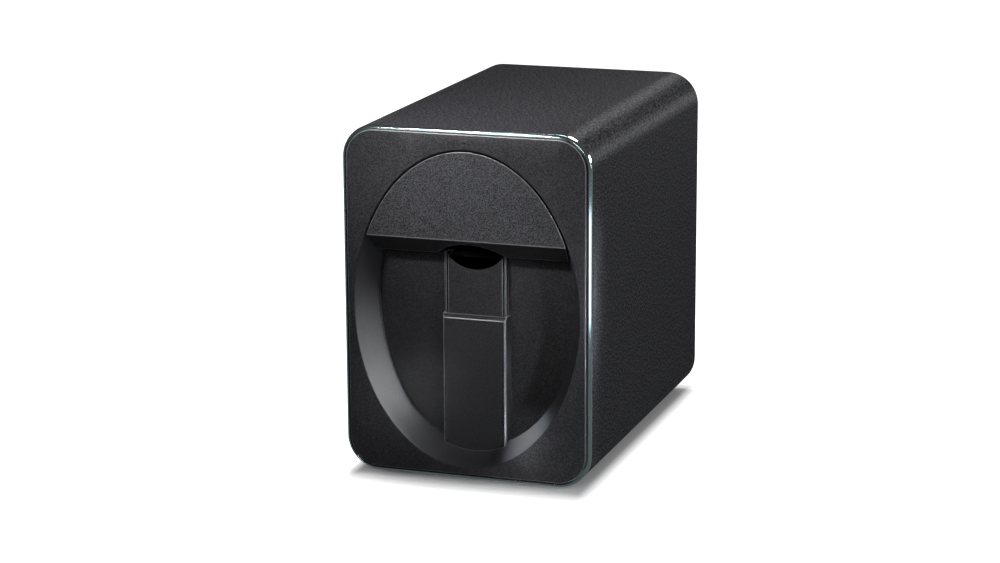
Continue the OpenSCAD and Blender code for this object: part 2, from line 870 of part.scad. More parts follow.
module fascia_screws() color(steel) in_case() four_corners()
    tie_screw(bulkhead_back + sheet_t, bulkhead_back + sheet_t, tie_head_t, dish_y - tie_depth + over);

module rear_screws() color(steel) in_case() four_corners()
    tie_screw(rear_face_y, rear_face_y, rear_recess - seat, rear_y - sheet_t - 4);

// ---------------------------------------------------------------- back

module rear_panel() color(black_plastic) in_case() difference() {
    along_y(rear_y, rear_face_y) difference() {
        rounded(inner_w - 2 * clear, inner_h - 2 * clear, inner_r - clear);
        for (i = [0 : vent_count - 1]) translate([0, vent_low_z + i * vent_pitch]) slot(vent_l, vent_h);
    }
    four_corners() rod_y(tie_x, tie_z, tie_r + seat, rear_y - over, rear_face_y + over);
    rod_y(button_x, button_z, button_r + clear, rear_y - over, rear_face_y + over);
    box([dc_x - dc_w / 2 - seat, rear_y - over, board_top_z - seat],
        [dc_x + dc_w / 2 + seat, rear_face_y + over, board_top_z + socket_h + seat]);
    box([usb_x - usb_w / 2 - seat, rear_y - over, board_top_z - seat],
        [usb_x + usb_w / 2 + seat, rear_face_y + over, board_top_z + socket_h + seat]);
}

// The cup behind the rear panel that holds the power button and its contacts
module power_switch() color(dark_plastic) in_case() difference() {
    rod_y(button_x, button_z, button_r + clear + switch_wall, rear_y - switch_l, rear_y);
    rod_y(button_x, button_z, button_r + clear, rear_y - switch_l + switch_wall, rear_y + over);
}

module power_button() color(dark_plastic) in_case() difference() {
    rod_y(button_x, button_z, button_r, rear_face_y + button_proud - button_l, rear_face_y + button_proud);
    rod_y(button_x, button_z, button_r / 2, rear_face_y + button_proud - button_l - over, rear_y - over);
}

module dc_inlet() color(dark_plastic) in_case() {
    mid = board_top_z + socket_h / 2;
    difference() {
        box([dc_x - dc_w / 2, port_y - dc_l, board_top_z], [dc_x + dc_w / 2, port_y, board_top_z + socket_h]);
        rod_y(dc_x, mid, dc_bore_r, port_y - dc_l + socket_back, port_y + over);
    }
    rod_y(dc_x, mid, dc_pin_r, port_y - dc_l + socket_back - over, port_y - over);
}

module usb_socket() color(steel) in_case() difference() {
    box([usb_x - usb_w / 2, port_y - usb_l, board_top_z],
        [usb_x + usb_w / 2, port_y, board_top_z + socket_h]);
    translate([usb_x, 0, board_top_z + socket_h / 2])
        box([-usb_hole_w / 2, port_y - usb_l + socket_back, -usb_hole_h / 2],
            [usb_hole_w / 2, port_y + over, usb_hole_h / 2]);
}

module main_board() color(board_green) in_case() {
    difference() {
        box([-board_half, board_front, board_z], [board_half, board_back, board_top_z]);
        board_holes(board_z - over, board_top_z + over, tie_r + seat);
    }
    for (c = chips) box(
        [c[0], board_front + c[1], board_top_z],
        [c[0] + c[2], board_front + c[1] + c[3], board_top_z + c[4]]
    );
    for (i = [0 : part_count - 1]) {
        can_x = part_row_x + i * can_pitch;
        rod_z(can_x, board_front + can_y, can_r, board_top_z, board_top_z + can_h);
        plug_x = part_row_x + i * plug_pitch;
        box([plug_x, board_front + plug_y, board_top_z],
            [plug_x + plug_w, board_front + plug_y + plug_l, board_top_z + plug_h]);
    }
}

module board_holes(z0, z1, r)
    for (side = [-1, 1], y = [board_front + hole_in, board_back - hole_in - usb_l])
        rod_z(side * (board_half - hole_in), y, r, z0, z1);

module board_standoffs() color(steel) in_case() difference() {
    board_holes(base_top_z, board_z, standoff_r);
    board_holes(base_top_z + over, board_z + over, tie_r + run);
}

module board_screws() color(steel) in_case() {
    board_holes(base_top_z + over * 2, board_top_z, tie_r);
    board_holes(board_top_z, board_top_z + tie_head_t, tie_head_r);
}

// ---------------------------------------------------------------- engine, fixed

module long_rods() color(steel) in_case()
    both_sides() rod_y(long_rod_x, long_rod_z, rod_r, rod_front_y, bracket_back);

module rear_bracket() color(zinc) in_case() difference() {
    union() {
        box([-side_in, bracket_y, long_rod_z - bracket_half],
            [side_in, bracket_back, long_rod_z + bracket_half]);
        both_sides() box(
            [side_in - sheet_t, bracket_back, long_rod_z - bracket_half],
            [side_in, bracket_back + bracket_flange, long_rod_z + bracket_half]
        );
    }
    both_sides() rod_y(long_rod_x, long_rod_z, rod_r + run, bracket_y - over, bracket_back + over);
    rod_y(0, long_rod_z, journal_r + run, bracket_y - over, bracket_back + over);
}

module long_motor() color(motor_black) in_case() difference() {
    motor_body(0, long_rod_z, long_motor_w, bracket_back, bracket_back + long_motor_l);
    rod_y(0, long_rod_z, journal_r + run, bracket_back - over, bracket_back + journal_l);
}

module lead_screw() color(steel) in_case() {
    rod_y(0, long_rod_z, screw_r, screw_tip_y, bracket_y - clear);
    rod_y(0, long_rod_z, shoulder_r, bracket_y - clear - shoulder_t, bracket_y - clear);
    rod_y(0, long_rod_z, journal_r, bracket_y - clear, bracket_back + journal_l - clear);
}

module camera_bar() color(zinc) in_case() difference() {
    box([-side_out, camera_y - bar_half, side_top_z], [side_out, camera_y + bar_half, side_top_z + sheet_t]);
    rod_z(0, camera_y, lens_hole_r, side_top_z - over, side_top_z + sheet_t + over);
}

module camera_module() color(dark_plastic) in_case() {
    low = side_top_z + sheet_t;
    top = low + camera_board_t;
    box([-bar_half, camera_y - bar_half + over, low], [bar_half, camera_y + bar_half - over, top]);
    box([-camera_half, camera_y - camera_half, low], [camera_half, camera_y + camera_half, top + camera_h]);
    rod_z(0, camera_y, lens_hole_r - clear, side_top_z, low);
}

// A row of lamps over the finger slot
module light_board() color(board_green) in_case() {
    low = slot_top_z + light_gap;
    lamp_y = bulkhead_back + board_t;
    box([-light_half, bulkhead_back, low], [light_half, lamp_y, low + light_h]);
    for (i = [-2 : 2]) rod_y(i * lamp_pitch, low + light_h / 2, lamp_r, lamp_y, lamp_y + lamp_t);
}

// ---------------------------------------------------------------- gantry

module gantry_block(mx) mirror([mx, 0, 0]) difference() {
    box([block_in, block_y, block_low_z], [block_out, block_back, block_high_z]);
    rod_y(long_rod_x, long_rod_z, rod_r + bushing_t, block_y - over, block_back + over);
    for (z = [low_rod_z, high_rod_z]) rod_x(cross_rod_y, z, rod_r + run, block_in - over, block_out - over);
}

module gantry_right() color(engine_grey) in_case() gantry_block(0);

module gantry_left() color(engine_grey) in_case() gantry_block(1);

module gantry_bushings() color(brass_tone) in_case() both_sides()
    for (y = [block_y, block_back - bushing_l]) difference() {
        rod_y(long_rod_x, long_rod_z, rod_r + bushing_t, y, y + bushing_l);
        rod_y(long_rod_x, long_rod_z, rod_r + run, y - over, y + bushing_l + over);
    }

module gantry_plate() color(zinc) in_case() difference() {
    box([-block_out, block_back, block_low_z], [block_out, plate_back, block_high_z]);
    both_sides() rod_y(long_rod_x, long_rod_z, rod_r + clear, block_back - over, plate_back + over);
    rod_y(0, long_rod_z, screw_r + clear, block_back - over, plate_back + over);
    rod_y(-pulley_x, belt_z, motor_boss_r + seat, block_back - over, plate_back + over);
    rod_y(pulley_x, belt_z, axle_r + run, block_back - over, plate_back + over);
}

module cross_rods() color(steel) in_case()
    for (z = [low_rod_z, high_rod_z]) rod_x(cross_rod_y, z, rod_r, -block_out + over, block_out - over);

module screw_nut() color(brass_tone) in_case() difference() {
    union() {
        rod_y(0, long_rod_z, nut_r, plate_back, plate_back + nut_l);
        intersection() {
            rod_y(0, long_rod_z, nut_flange_r, plate_back, plate_back + sheet_t);
            box([-nut_flange_r, plate_back, block_low_z], [nut_flange_r, plate_back + sheet_t, block_high_z]);
        }
    }
    rod_y(0, long_rod_z, screw_r + run, plate_back - over, plate_back + nut_l + over);
}

module cross_motor() color(motor_black) in_case() difference() {
    union() {
        motor_body(-pulley_x, belt_z, cross_motor_w, plate_back, plate_back + cross_motor_l);
        rod_y(-pulley_x, belt_z, motor_boss_r, block_back, plate_back);
    }
    rod_y(-pulley_x, belt_z, axle_r + run, block_back - over, plate_back + journal_l);
}

module pulley(x) {
    rod_y(x, belt_z, pulley_r, belt_y, belt_back);
    for (y = [belt_y - clear - flange_t, belt_back + clear])
        rod_y(x, belt_z, flange_r, y, y + flange_t);
    rod_y(x, belt_z, pulley_r - 0.4, belt_y - clear, belt_back + clear);
}

module drive_pulley() color(polished) in_case() {
    pulley(-pulley_x);
    rod_y(-pulley_x, belt_z, axle_r, belt_y, plate_back + journal_l - clear);
}

module idler_pulley() color(polished) in_case() difference() {
    pulley(pulley_x);
    rod_y(pulley_x, belt_z, axle_r + run, belt_y - flange_r, belt_back + flange_r);
}

module idler_axle() color(steel) in_case()
    rod_y(pulley_x, belt_z, axle_r, belt_y - clear - flange_t, plate_back);

module drive_belt() color(rubber_black) in_case()
    translate([0, 0, belt_z]) along_y(belt_y, belt_back) difference() {
        slot(2 * (pulley_x + belt_out_r), 2 * belt_out_r);
        slot(2 * (pulley_x + belt_in_r), 2 * belt_in_r);
    }

// The tray under the parked nozzles, on an arm along the right end block
module cap_tray() color(engine_grey) in_case() {
    box([cap_arm_x, cap_mid_y - cap_half_l, cap_tray_z], [cap_arm_x + cap_arm_w, block_back, block_low_z]);
    box([park_x - snout_half - cap_rim, cap_mid_y - cap_half_l, cap_tray_z],
        [cap_arm_x + over, cap_mid_y + cap_half_l, cap_tray_z + cap_tray_t]);
}

// A soft lip that closes round the nozzles
module cap_seal() color(rubber_black) in_case()
    translate([park_x, cap_mid_y, cap_tray_z + cap_tray_t])
        linear_extrude(nozzle_z - clear - cap_tray_z - cap_tray_t) difference() {
            rounded(2 * snout_half, seal_l, seal_r);
            rounded(2 * (snout_half - seal_lip), seal_l - 2 * seal_lip, seal_r / 2);
        }

// ---------------------------------------------------------------- carriage

module print_carriage() color(engine_grey) in_case() translate([park_x, 0, 0]) difference() {
    half = carriage_w / 2;
    union() {
        both_sides() along_x(half - carriage_wall, half) polygon([
            [carriage_y, carriage_floor_z],
            [carriage_back, carriage_floor_z],
            [carriage_back, high_rod_z + head_h],
            [carriage_back - brow_l, high_rod_z + head_h],
            [cartridge_y + cheek_l, carriage_floor_z + cheek_h],
            [carriage_y, carriage_floor_z + lip_h]
        ]);
        box([-half, cartridge_y - over, carriage_floor_z], [half, carriage_back, bed_z]);
        box([-half, carriage_back - carriage_wall, carriage_floor_z],
            [half, carriage_back, high_rod_z + head_h]);
        rod_x(cross_rod_y, low_rod_z, rod_r + bushing_t + over, -half, half);
        box([-half, carriage_back, low_rod_z - rod_wall], [half, cross_rod_y, low_rod_z + rod_wall]);
        box([-half, carriage_back, high_rod_z - rod_r - jaw_t],
            [half, cross_rod_y + rod_r + 0.8, high_rod_z + rod_r + jaw_t]);
        box([-clamp_half, carriage_back, low_rod_z + rod_r], [clamp_half, belt_y - clamp_t, belt_z - over]);
    }
    box([-snout_half - clear, snout_y - clear, carriage_floor_z - over],
        [snout_half + clear, snout_y + snout_l + clear, bed_z + over]);
    rod_x(cross_rod_y, low_rod_z, rod_r + bushing_t, -half - over, half + over);
    box([-half - over, cross_rod_y - rod_r - run, high_rod_z - rod_r - run],
        [half + over, cross_rod_y + rod_r + over, high_rod_z + rod_r + run]);
    rod_x(latch_y, latch_z, latch_pin_r + run, -half - over, half + over);
}

module carriage_bushings() color(brass_tone) in_case() translate([park_x, 0, 0]) both_sides()
    difference() {
        rod_x(cross_rod_y, low_rod_z, rod_r + bushing_t, carriage_w / 2 - bushing_l, carriage_w / 2);
        rod_x(cross_rod_y, low_rod_z, rod_r + run, carriage_w / 2 - bushing_l - over, carriage_w / 2 + over);
    }

// The jaw that holds the belt's lower run
module belt_clamp() color(engine_grey) in_case() translate([park_x, 0, 0]) difference() {
    low = belt_z - belt_out_r;
    box([-clamp_half, belt_y - clamp_t, low - jaw_t], [clamp_half, belt_back + 0.4, low + belt_t + jaw_t]);
    box([-clamp_half - over, belt_y - clear, low - clear],
        [clamp_half + over, belt_back + over, low + belt_t + clear]);
}

module ink_cartridge() color(ink_body) in_case() translate([park_x, 0, 0]) {
    top_z = bed_z + cartridge_h;
    along_x(-cartridge_half, cartridge_half) polygon([
        [cartridge_y, bed_z],
        [cartridge_back, bed_z],
        [cartridge_back, top_z],
        [cartridge_y + cartridge_bevel, top_z],
        [cartridge_y, top_z - cartridge_bevel]
    ]);
    box([-snout_half, snout_y, nozzle_z], [snout_half, snout_y + snout_l, bed_z]);
}

// The lever that holds the cartridge back, on its own pin between the carriage's walls
module cartridge_latch() color(engine_grey) in_case() translate([park_x, 0, 0]) {
    half = carriage_w / 2;
    front = latch_y - latch_pin_r;
    box([-latch_half, front, latch_z], [latch_half, front + latch_t, latch_z + latch_l]);
    rod_x(latch_y, latch_z, latch_pin_r, -half + seat, half - seat);
    rod_x(latch_y, latch_z, latch_pin_r + over, -latch_half, latch_half);
}

// ---------------------------------------------------------------- nodes

outer_sleeve();
front_trim_ring();
front_fascia();
front_bulkhead();
finger_guide();
status_lens();
status_board();
body_magnets();
rear_panel();
power_switch();
dc_inlet();
usb_socket();
main_board();
board_standoffs();
board_screws();
base_plate();
rubber_feet();
side_plate_left();
side_plate_right();
fascia_screws();
rear_screws();
rear_bracket();
long_rods();
long_motor();
rest_deck();
rest_posts();
rest_spring();
camera_bar();
camera_module();
light_board();
front_cover();
cover_magnets();
finger_rest();
finger_pad();
power_button();
gantry_left();
gantry_right();
gantry_plate();
gantry_bushings();
cross_rods();
cross_motor();
drive_belt();
idler_axle();
screw_nut();
cap_tray();
cap_seal();
print_carriage();
carriage_bushings();
belt_clamp();
ink_cartridge();
cartridge_latch();
drive_pulley();
idler_pulley();
lead_screw();
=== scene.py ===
"""Desktop nail printer: the visible surfaces, finishes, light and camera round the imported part.

Sizes are in millimetres in the case's own coordinates unless a name says otherwise: x to the right,
y back from the mouth of the case, z up from its mid-height. place() turns them into the row frame.
"""

import json
import math

import bpy
import bmesh
from mathutils import Matrix, Vector


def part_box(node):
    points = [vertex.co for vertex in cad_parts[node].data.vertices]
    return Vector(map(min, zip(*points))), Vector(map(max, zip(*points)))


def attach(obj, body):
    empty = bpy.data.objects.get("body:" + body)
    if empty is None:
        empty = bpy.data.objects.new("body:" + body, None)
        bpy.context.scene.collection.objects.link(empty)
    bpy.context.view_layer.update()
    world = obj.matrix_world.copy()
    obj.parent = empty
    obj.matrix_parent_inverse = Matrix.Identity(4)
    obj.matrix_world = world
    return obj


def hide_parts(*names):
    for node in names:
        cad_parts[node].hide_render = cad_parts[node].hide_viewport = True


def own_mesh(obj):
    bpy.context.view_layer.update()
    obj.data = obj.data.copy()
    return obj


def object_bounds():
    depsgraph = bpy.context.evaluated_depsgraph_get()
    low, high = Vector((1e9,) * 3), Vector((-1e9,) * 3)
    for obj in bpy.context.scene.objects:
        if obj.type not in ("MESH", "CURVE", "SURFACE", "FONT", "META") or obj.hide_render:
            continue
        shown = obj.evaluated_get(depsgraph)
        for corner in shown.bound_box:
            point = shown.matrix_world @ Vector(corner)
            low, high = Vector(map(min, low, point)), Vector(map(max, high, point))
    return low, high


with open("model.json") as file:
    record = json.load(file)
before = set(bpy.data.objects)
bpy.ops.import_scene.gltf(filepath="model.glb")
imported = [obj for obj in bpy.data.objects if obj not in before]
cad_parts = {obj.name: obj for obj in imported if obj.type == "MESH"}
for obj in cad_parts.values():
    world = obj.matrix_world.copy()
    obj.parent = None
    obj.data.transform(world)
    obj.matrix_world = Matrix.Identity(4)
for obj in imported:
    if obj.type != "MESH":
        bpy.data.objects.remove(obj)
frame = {"nodes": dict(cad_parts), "record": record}
cad_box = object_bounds()

MM = 0.001

# -------- places taken from the frame

sleeve_lo, sleeve_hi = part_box("outer_sleeve")
ring_lo, ring_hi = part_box("front_trim_ring")

MOUTH = ring_lo.y / MM
MIDDLE = (sleeve_lo.z + sleeve_hi.z) / 2 / MM
CASE_W = (sleeve_hi.x - sleeve_lo.x) / MM
CASE_H = (sleeve_hi.z - sleeve_lo.z) / MM
CASE_D = sleeve_hi.y / MM - MOUTH


def place(x, y, z):
    """A point of the case, in mm, as a point of the row frame, in metres."""
    return Vector((x, y + MOUTH, z + MIDDLE)) * MM


def back_from_mouth(y_m):
    """A depth of the row frame, in metres, as mm behind the case's mouth."""
    return y_m / MM - MOUTH


def above_middle(z_m):
    """A height of the row frame, in metres, as mm above the case's middle."""
    return z_m / MM - MIDDLE


def box_mm(node):
    """The lowest and the highest corner of a CAD node, in the case's mm."""
    return [(at.x / MM, back_from_mouth(at.y), above_middle(at.z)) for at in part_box(node)]


# -------- driving sizes

# How finely round forms are drawn
CORNER_STEPS = 20
DISH_STEPS = 288
ROUND_STEPS = 160
HALVINGS = 40

# How far a form stands past the one that it cuts or joins, and by how much two cuts miss one plane
PAST = 1
WELL_PAST = 5
APART = 0.1

# Case
CASE_R = 17.5
WALL = 2.2
SLEEVE_EDGE = 0.5
RING_W = 1.3
RING_CHAMFER = 1.0
RING_L = back_from_mouth(sleeve_lo.y)
SPIGOT_END = back_from_mouth(ring_hi.y)
SPIGOT_IN = 2.5
SPIGOT_WALL = 1.2
CUT_EDGE = 0.12

# Front panel
PANEL_FACE = back_from_mouth(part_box("front_fascia")[0].y)
PANEL_BACK = 2.4
PANEL_IN = 2.3
PANEL_W = CASE_W - 2 * PANEL_IN
PANEL_H = CASE_H - 2 * PANEL_IN
PANEL_R = CASE_R - PANEL_IN
EDGE_BEVEL = 0.4
LIGHT_R = 0.5
(_, _, lens_z0), (_, _, lens_z1) = box_mm("status_lens")
LIGHT_Z = (lens_z0 + lens_z1) / 2

# Finger dish
DISH_FLOOR = back_from_mouth(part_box("front_bulkhead")[0].y)
DISH_DEPTH = 16.4
RIM = PANEL_FACE + DISH_DEPTH
RIM_UNDERCUT = 1.2
DISH_A = 60.4
DISH_B = 82.9
DISH_Z = -2.2
DISH_TAPER = 7.15
DISH_WALL = 2.2
NEAR_DISH = 3

# Front cover
(_, _, VISOR_Z), (_, COVER_BACK, _) = box_mm("front_cover")
COVER_GAP = 1.0
COVER_WALL = 2.4
COVER_EDGE_Z = 34
VISOR_Y = 8.5
ARCH_R = 28.2
ARCH_Z = 3.5

# Finger rest and its guide
(rest_x0, REST_FRONT, _), (rest_x1, REST_BACK, STOP_TOP) = box_mm("finger_rest")
REST_W = rest_x1 - rest_x0
REST_TOP = 22.9
REST_EDGE = 0.35
PLATE_T = 3
PLATE_L = 55
CRADLE_Z = 6
TROUGH_R = 19
TROUGH_Z = 35.4
STOP_T = 3
STOP_HALF = 9
BOSS_R = 4.5
BOSS_L = 10
POST_Y = (24.7, 57.5)
(_, GUIDE_FACE, _), (_, _, RAIL_TOP) = box_mm("finger_guide")
GUIDE_W = 36
GUIDE_LEAN = 0.9
GUIDE_R = 1.5
GUIDE_TURN = 9
GUIDE_TOP = REST_TOP - 30.4
GUIDE_BEVEL = 2
GUIDE_WALL = 2.3
GUIDE_FIT = 0.1
RAIL_W = 1
RAIL_FACE = REST_FRONT + 0.2
SLOT_HALF = 15.65
SLOT_LOW = -43.1

# Finger pad, return spring and parking cap
PAD_T = 1.5
PAD_RIB = 3.2
PAD_RIB_H = 0.45
PAD_RIB_STEPS = 8
PAD_END = 1.0
PAD_END_DROP = 0.6
PAD_ARC_STEPS = 36
PAD_SIDE_TURN = 1.2
WIRE_R = 0.45
WIRE_STEPS = 10
SPRING_TURNS = 6
SPRING_STEPS = 32
SEAL_LIP = 1.5
SEAL_R = 2
SEAL_FOOT = ((0, 0), (0, 0.7), (0.35, 1.2))      # (inset, above the lip's underside)
SEAL_TIP = ((0.45, 0.35), (0.62, 0))             # (inset, below the lip's top)

# Back and underside
BACK_FRONT = back_from_mouth(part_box("rear_panel")[0].y)
MOULDED_EDGE = 0.3
HOLLOW = 0.5
HOLLOW_LINE = ((0.82, 0), (0.6, 0.55), (0.3, 0.92), (0.08, 1))     # shares of (the radius, the hollow)
PIN_R = 0.95
PIN_LINE = ((1, 8), (1, 0.9), (0.5, 0.5))        # (share of its radius, mm inside the inlet's mouth)
PIN_EDGE = 0.1
TONGUE_W = 5.6
TONGUE_H = 3.2
TONGUE_ROOT = 12
TONGUE_TIP = 1.4
FOLDED_EDGE = 0.25
FOOT_R = 7
FOOT_H = 2
FOOT_STUD_R = 2.2
FOOT_EDGE = 0.2
GROOVE_AT = 0.62
GROOVE_R = 0.5
SCREW_R = 1.5
SCREW_HEAD_R = 2.8
SCREW_HEAD_H = 1.4
RECESS_L = 2.9
RECESS_W = 0.7

# Engine
CLEAR = 0.3
ROD_R = 3
CORE_R = ROD_R - 0.55
JOURNAL_R = ROD_R - 0.5
RIDGE_R = 0.5
NOSE_L = 1
NOSE_CHAMFER = 0.5
END_CHAMFER = 0.3
LAP = 0.2
COLLAR_T = 2.5
SCREW_LEAD = 8
SCREW_STARTS = 4
(_, BELT_FRONT, belt_z0), (belt_x1, BELT_BACK, belt_z1) = box_mm("drive_belt")
BELT_Z = (belt_z0 + belt_z1) / 2
BELT_OUT_R = (belt_z1 - belt_z0) / 2
PULLEY_X = belt_x1 - BELT_OUT_R
BELT_BACK_T = 0.6
BELT_PITCH = 2
TOOTH_R = 0.5
TOOTH_SHORT = 0.1

# Clean-up before an edge is rounded: points this near are one, and faces within this many degrees are flat
WELD = 0.01
FLAT_TURN = 0.2

# Turns that lay a standing form down
UPRIGHT = (0.0, 0.0, 0.0)
TO_BACK = (-math.pi / 2, 0.0, 0.0)
TO_FRONT = (math.pi / 2, 0.0, 0.0)

# -------- materials


def linear(hex_colour):
    """An sRGB hex colour as linear RGBA."""
    channels = [int(hex_colour[i:i + 2], 16) / 255 for i in (1, 3, 5)]
    return [c / 12.92 if c <= 0.04045 else ((c + 0.055) / 1.055) ** 2.4 for c in channels] + [1.0]


def add(tree, kind, inputs=None, **settings):
    """One node, its settings, and its inputs: a value, or another node's output to link."""
    made = tree.nodes.new(kind)
    for name, value in settings.items():
        setattr(made, name, value)
    for socket, value in (inputs or {}).items():
        if isinstance(value, bpy.types.NodeSocket):
            tree.links.new(value, made.inputs[socket])
        else:
            made.inputs[socket].default_value = value
    return made


def arithmetic(tree, operation, first, second):
    """The result of one operation on two numbers or outputs."""
    return add(tree, "ShaderNodeMath", {0: first, 1: second}, operation=operation).outputs[0]


def per_metre(size_mm):
    """Scale of a noise whose spots are about this far apart."""
    return 1 / (size_mm * MM)


def new_material(name):
    """A material with nothing but its output, and the object's coordinates."""
    material = bpy.data.materials.new(name)
    material.use_nodes = True
    tree = material.node_tree
    tree.nodes.clear()
    output = add(tree, "ShaderNodeOutputMaterial")
    where = add(tree, "ShaderNodeTexCoord").outputs["Object"]
    return material, tree, output, where


def between(tree, factor, low, high):
    """A colour between two hex colours."""
    return add(tree, "ShaderNodeMix", {
        "Factor": factor, "A": linear(low), "B": linear(high)}, data_type="RGBA").outputs["Result"]


def shade(tree, output, height, depth_mm, inputs):
    """The material's surface, with a relief of a depth in it."""
    relief = add(tree, "ShaderNodeBump", {"Height": height, "Strength": 1.0, "Distance": depth_mm * MM})
    shader = add(tree, "ShaderNodeBsdfPrincipled", {"Normal": relief.outputs["Normal"], **inputs})
    tree.links.new(shader.outputs["BSDF"], output.inputs["Surface"])


def grained(name, low, high, grain_mm, roughness, depth_mm, spec=0.5, coat=0.0, sparse=0.4, reach=0.26):
    """A coated or moulded surface: specks between two tones, with a fine relief under them.

    sparse is the noise level where the pale specks begin, and reach how far on they are full.
    """
    material, tree, output, where = new_material(name)
    specks = add(tree, "ShaderNodeTexNoise", {
        "Vector": where, "Scale": per_metre(grain_mm), "Detail": 2.0, "Roughness": 0.6})
    tones = add(tree, "ShaderNodeMapRange", {
        "Value": specks.outputs["Fac"], "From Min": sparse, "From Max": sparse + reach})
    shade(tree, output, specks.outputs["Fac"], depth_mm, {
        "Base Color": between(tree, tones.outputs["Result"], low, high), "Roughness": roughness,
        "Specular IOR Level": spec, "Coat Weight": coat})
    return material


def metal(name, low, high, roughness, line_mm, depth_mm, along, uneven=0.3):
    """Bare metal with tool or brush lines that run along one axis, its gloss uneven by a share."""
    material, tree, output, where = new_material(name)
    stretch = [1.0, 1.0, 1.0]
    stretch["xyz".index(along)] = LINE_STRETCH
    mapped = add(tree, "ShaderNodeMapping", {"Vector": where, "Scale": stretch})
    lines = add(tree, "ShaderNodeTexNoise", {
        "Vector": mapped.outputs["Vector"], "Scale": per_metre(line_mm), "Detail": 2.0}).outputs["Fac"]
    gloss = add(tree, "ShaderNodeMapRange", {
        "Value": lines, "To Min": roughness * (1 - uneven), "To Max": roughness * (1 + uneven)})
    shade(tree, output, lines, depth_mm, {
        "Base Color": between(tree, lines, low, high), "Roughness": gloss.outputs["Result"], "Metallic": 1.0})
    return material


# How much slower a metal's lines change along themselves than across
LINE_STRETCH = 0.04
# Textured black powder coat on aluminium: a soft sheen broken up by fine bright specks
POWDER_COAT = grained("black_powder_coat_textured", "#050506", "#3c3c40", 1.1, 0.5, 0.05,
                      spec=0.02, sparse=0.47, reach=0.09)
# Spark-eroded ABS of the front: the same black, with a finer and duller grain
SPARK_ABS = grained("black_abs_spark_textured", "#09090a", "#29292c", 0.5, 0.36, 0.015,
                    spec=0.22, sparse=0.42, reach=0.18)
# The cover is eroded coarser, so it looks lighter than the panel round it
COARSE_ABS = grained("black_abs_coarse_textured", "#0b0b0c", "#303033", 0.5, 0.4, 0.02,
                     spec=0.15, sparse=0.43, reach=0.13)
# The dish's wall is moulded smoother, to a satin finish, and its black is set lighter than the panel's so
# that it shows bright: painted light. Its long soft gradient comes from the lamps.
SATIN_ABS_PAINTED_LIGHT = grained("black_abs_satin_moulded", "#202022", "#262628", 0.7, 0.36, 0.008, spec=0.3)
# The parts deep in the dish, its floor, the finger rest and its guide, and the slope under the visor take a
# darker, duller black: the darker tone is painted shade.
DULL_ABS_PAINTED_SHADE = grained("black_abs_dull_moulded", "#070708", "#1d1d1f", 0.5, 0.45, 0.015,
                   spec=0.16, sparse=0.42, reach=0.18)
# A paler black painted on rounded edges as a highlight, standing in for the light they catch
PAINTED_EDGE_HIGHLIGHT_ABS = grained("black_abs_polished_edge", "#404043", "#4e4e51", 1.2, 0.38, 0.004)
# Diamond-cut aluminium, anodised to a slight cold tint
CUT_ALUMINIUM = metal("aluminium_diamond_cut", "#a4b7b9", "#abbdbf", 0.1, 0.3, 0.0, "y", uneven=0.05)
# Inner mouldings: plain black ABS with a faint moulded skin
INNER_ABS = grained("black_abs_plain_moulded", "#141416", "#1e1e21", 0.8, 0.42, 0.01)
# Glass-filled nylon: grey with short pale fibres at the surface
FILLED_NYLON = grained("grey_nylon_glass_filled", "#3f4348", "#5d6369", 0.5, 0.55, 0.02)
# Zinc-coated sheet steel, brushed by the rolling
ZINC_SHEET = metal("steel_zinc_sheet", "#8f9397", "#b3b7ba", 0.38, 0.25, 0.004, "y")
# Ground and chromed rods
GROUND_ROD = metal("steel_ground_chromed", "#b9bdc0", "#d3d7d9", 0.14, 0.15, 0.001, "z")
# Zinc-coated screws and standoffs
ZINC_SCREW = metal("steel_zinc_fastener", "#868a8e", "#aeb2b5", 0.3, 0.2, 0.002, "z")
# Sintered bronze: warm, slightly porous
BRONZE = metal("bronze_sintered", "#8a6a34", "#c09a52", 0.36, 0.3, 0.006, "x")
# Natural rubber: dull black with a dusty skin
RUBBER = grained("black_rubber_moulded", "#101011", "#1b1b1c", 0.6, 0.72, 0.03, spec=0.3)
# Glass-epoxy board under green solder mask
SOLDER_MASK = grained("glass_epoxy_green_mask", "#123b25", "#1d5234", 0.9, 0.28, 0.008, coat=0.3)
# Satin black lacquer on the motors
MOTOR_LACQUER = grained("black_lacquer_satin", "#151517", "#222326", 0.6, 0.3, 0.01)
# Clear acrylic light pipe, unlit
LIGHT_PIPE = grained("acrylic_light_pipe", "#060606", "#0b0b0b", 0.4, 0.12, 0.001)
# Polypropylene cartridge, slightly blue black
CARTRIDGE_PP = grained("blue_black_polypropylene", "#23262d", "#343945", 0.7, 0.34, 0.012)

SLOT_MATERIALS = {
    "sleeve_coat": POWDER_COAT,
    "panel_plastic": SPARK_ABS,
    "trim_metal": CUT_ALUMINIUM,
    "dark_plastic": INNER_ABS,
    "engine_plastic": FILLED_NYLON,
    "sheet_metal": ZINC_SHEET,
    "rod_steel": GROUND_ROD,
    "fastener_steel": ZINC_SCREW,
    "bearing_brass": BRONZE,
    "soft_rubber": RUBBER,
    "belt_rubber": RUBBER,
    "circuit_board": SOLDER_MASK,
    "motor_case": MOTOR_LACQUER,
    "light_pipe": LIGHT_PIPE,
    "cartridge_case": CARTRIDGE_PP,
}
NODE_SLOT = {part["node"]: part["material_slot"] for part in frame["record"]["subparts"]}
for node_name, node_object in frame["nodes"].items():
    for holder in node_object.material_slots:
        holder.material = SLOT_MATERIALS[NODE_SLOT[node_name]]
# The dish's floor takes the darker black, painted shade of the recess
frame["nodes"]["front_bulkhead"].material_slots[0].material = DULL_ABS_PAINTED_SHADE

# -------- outlines and meshes


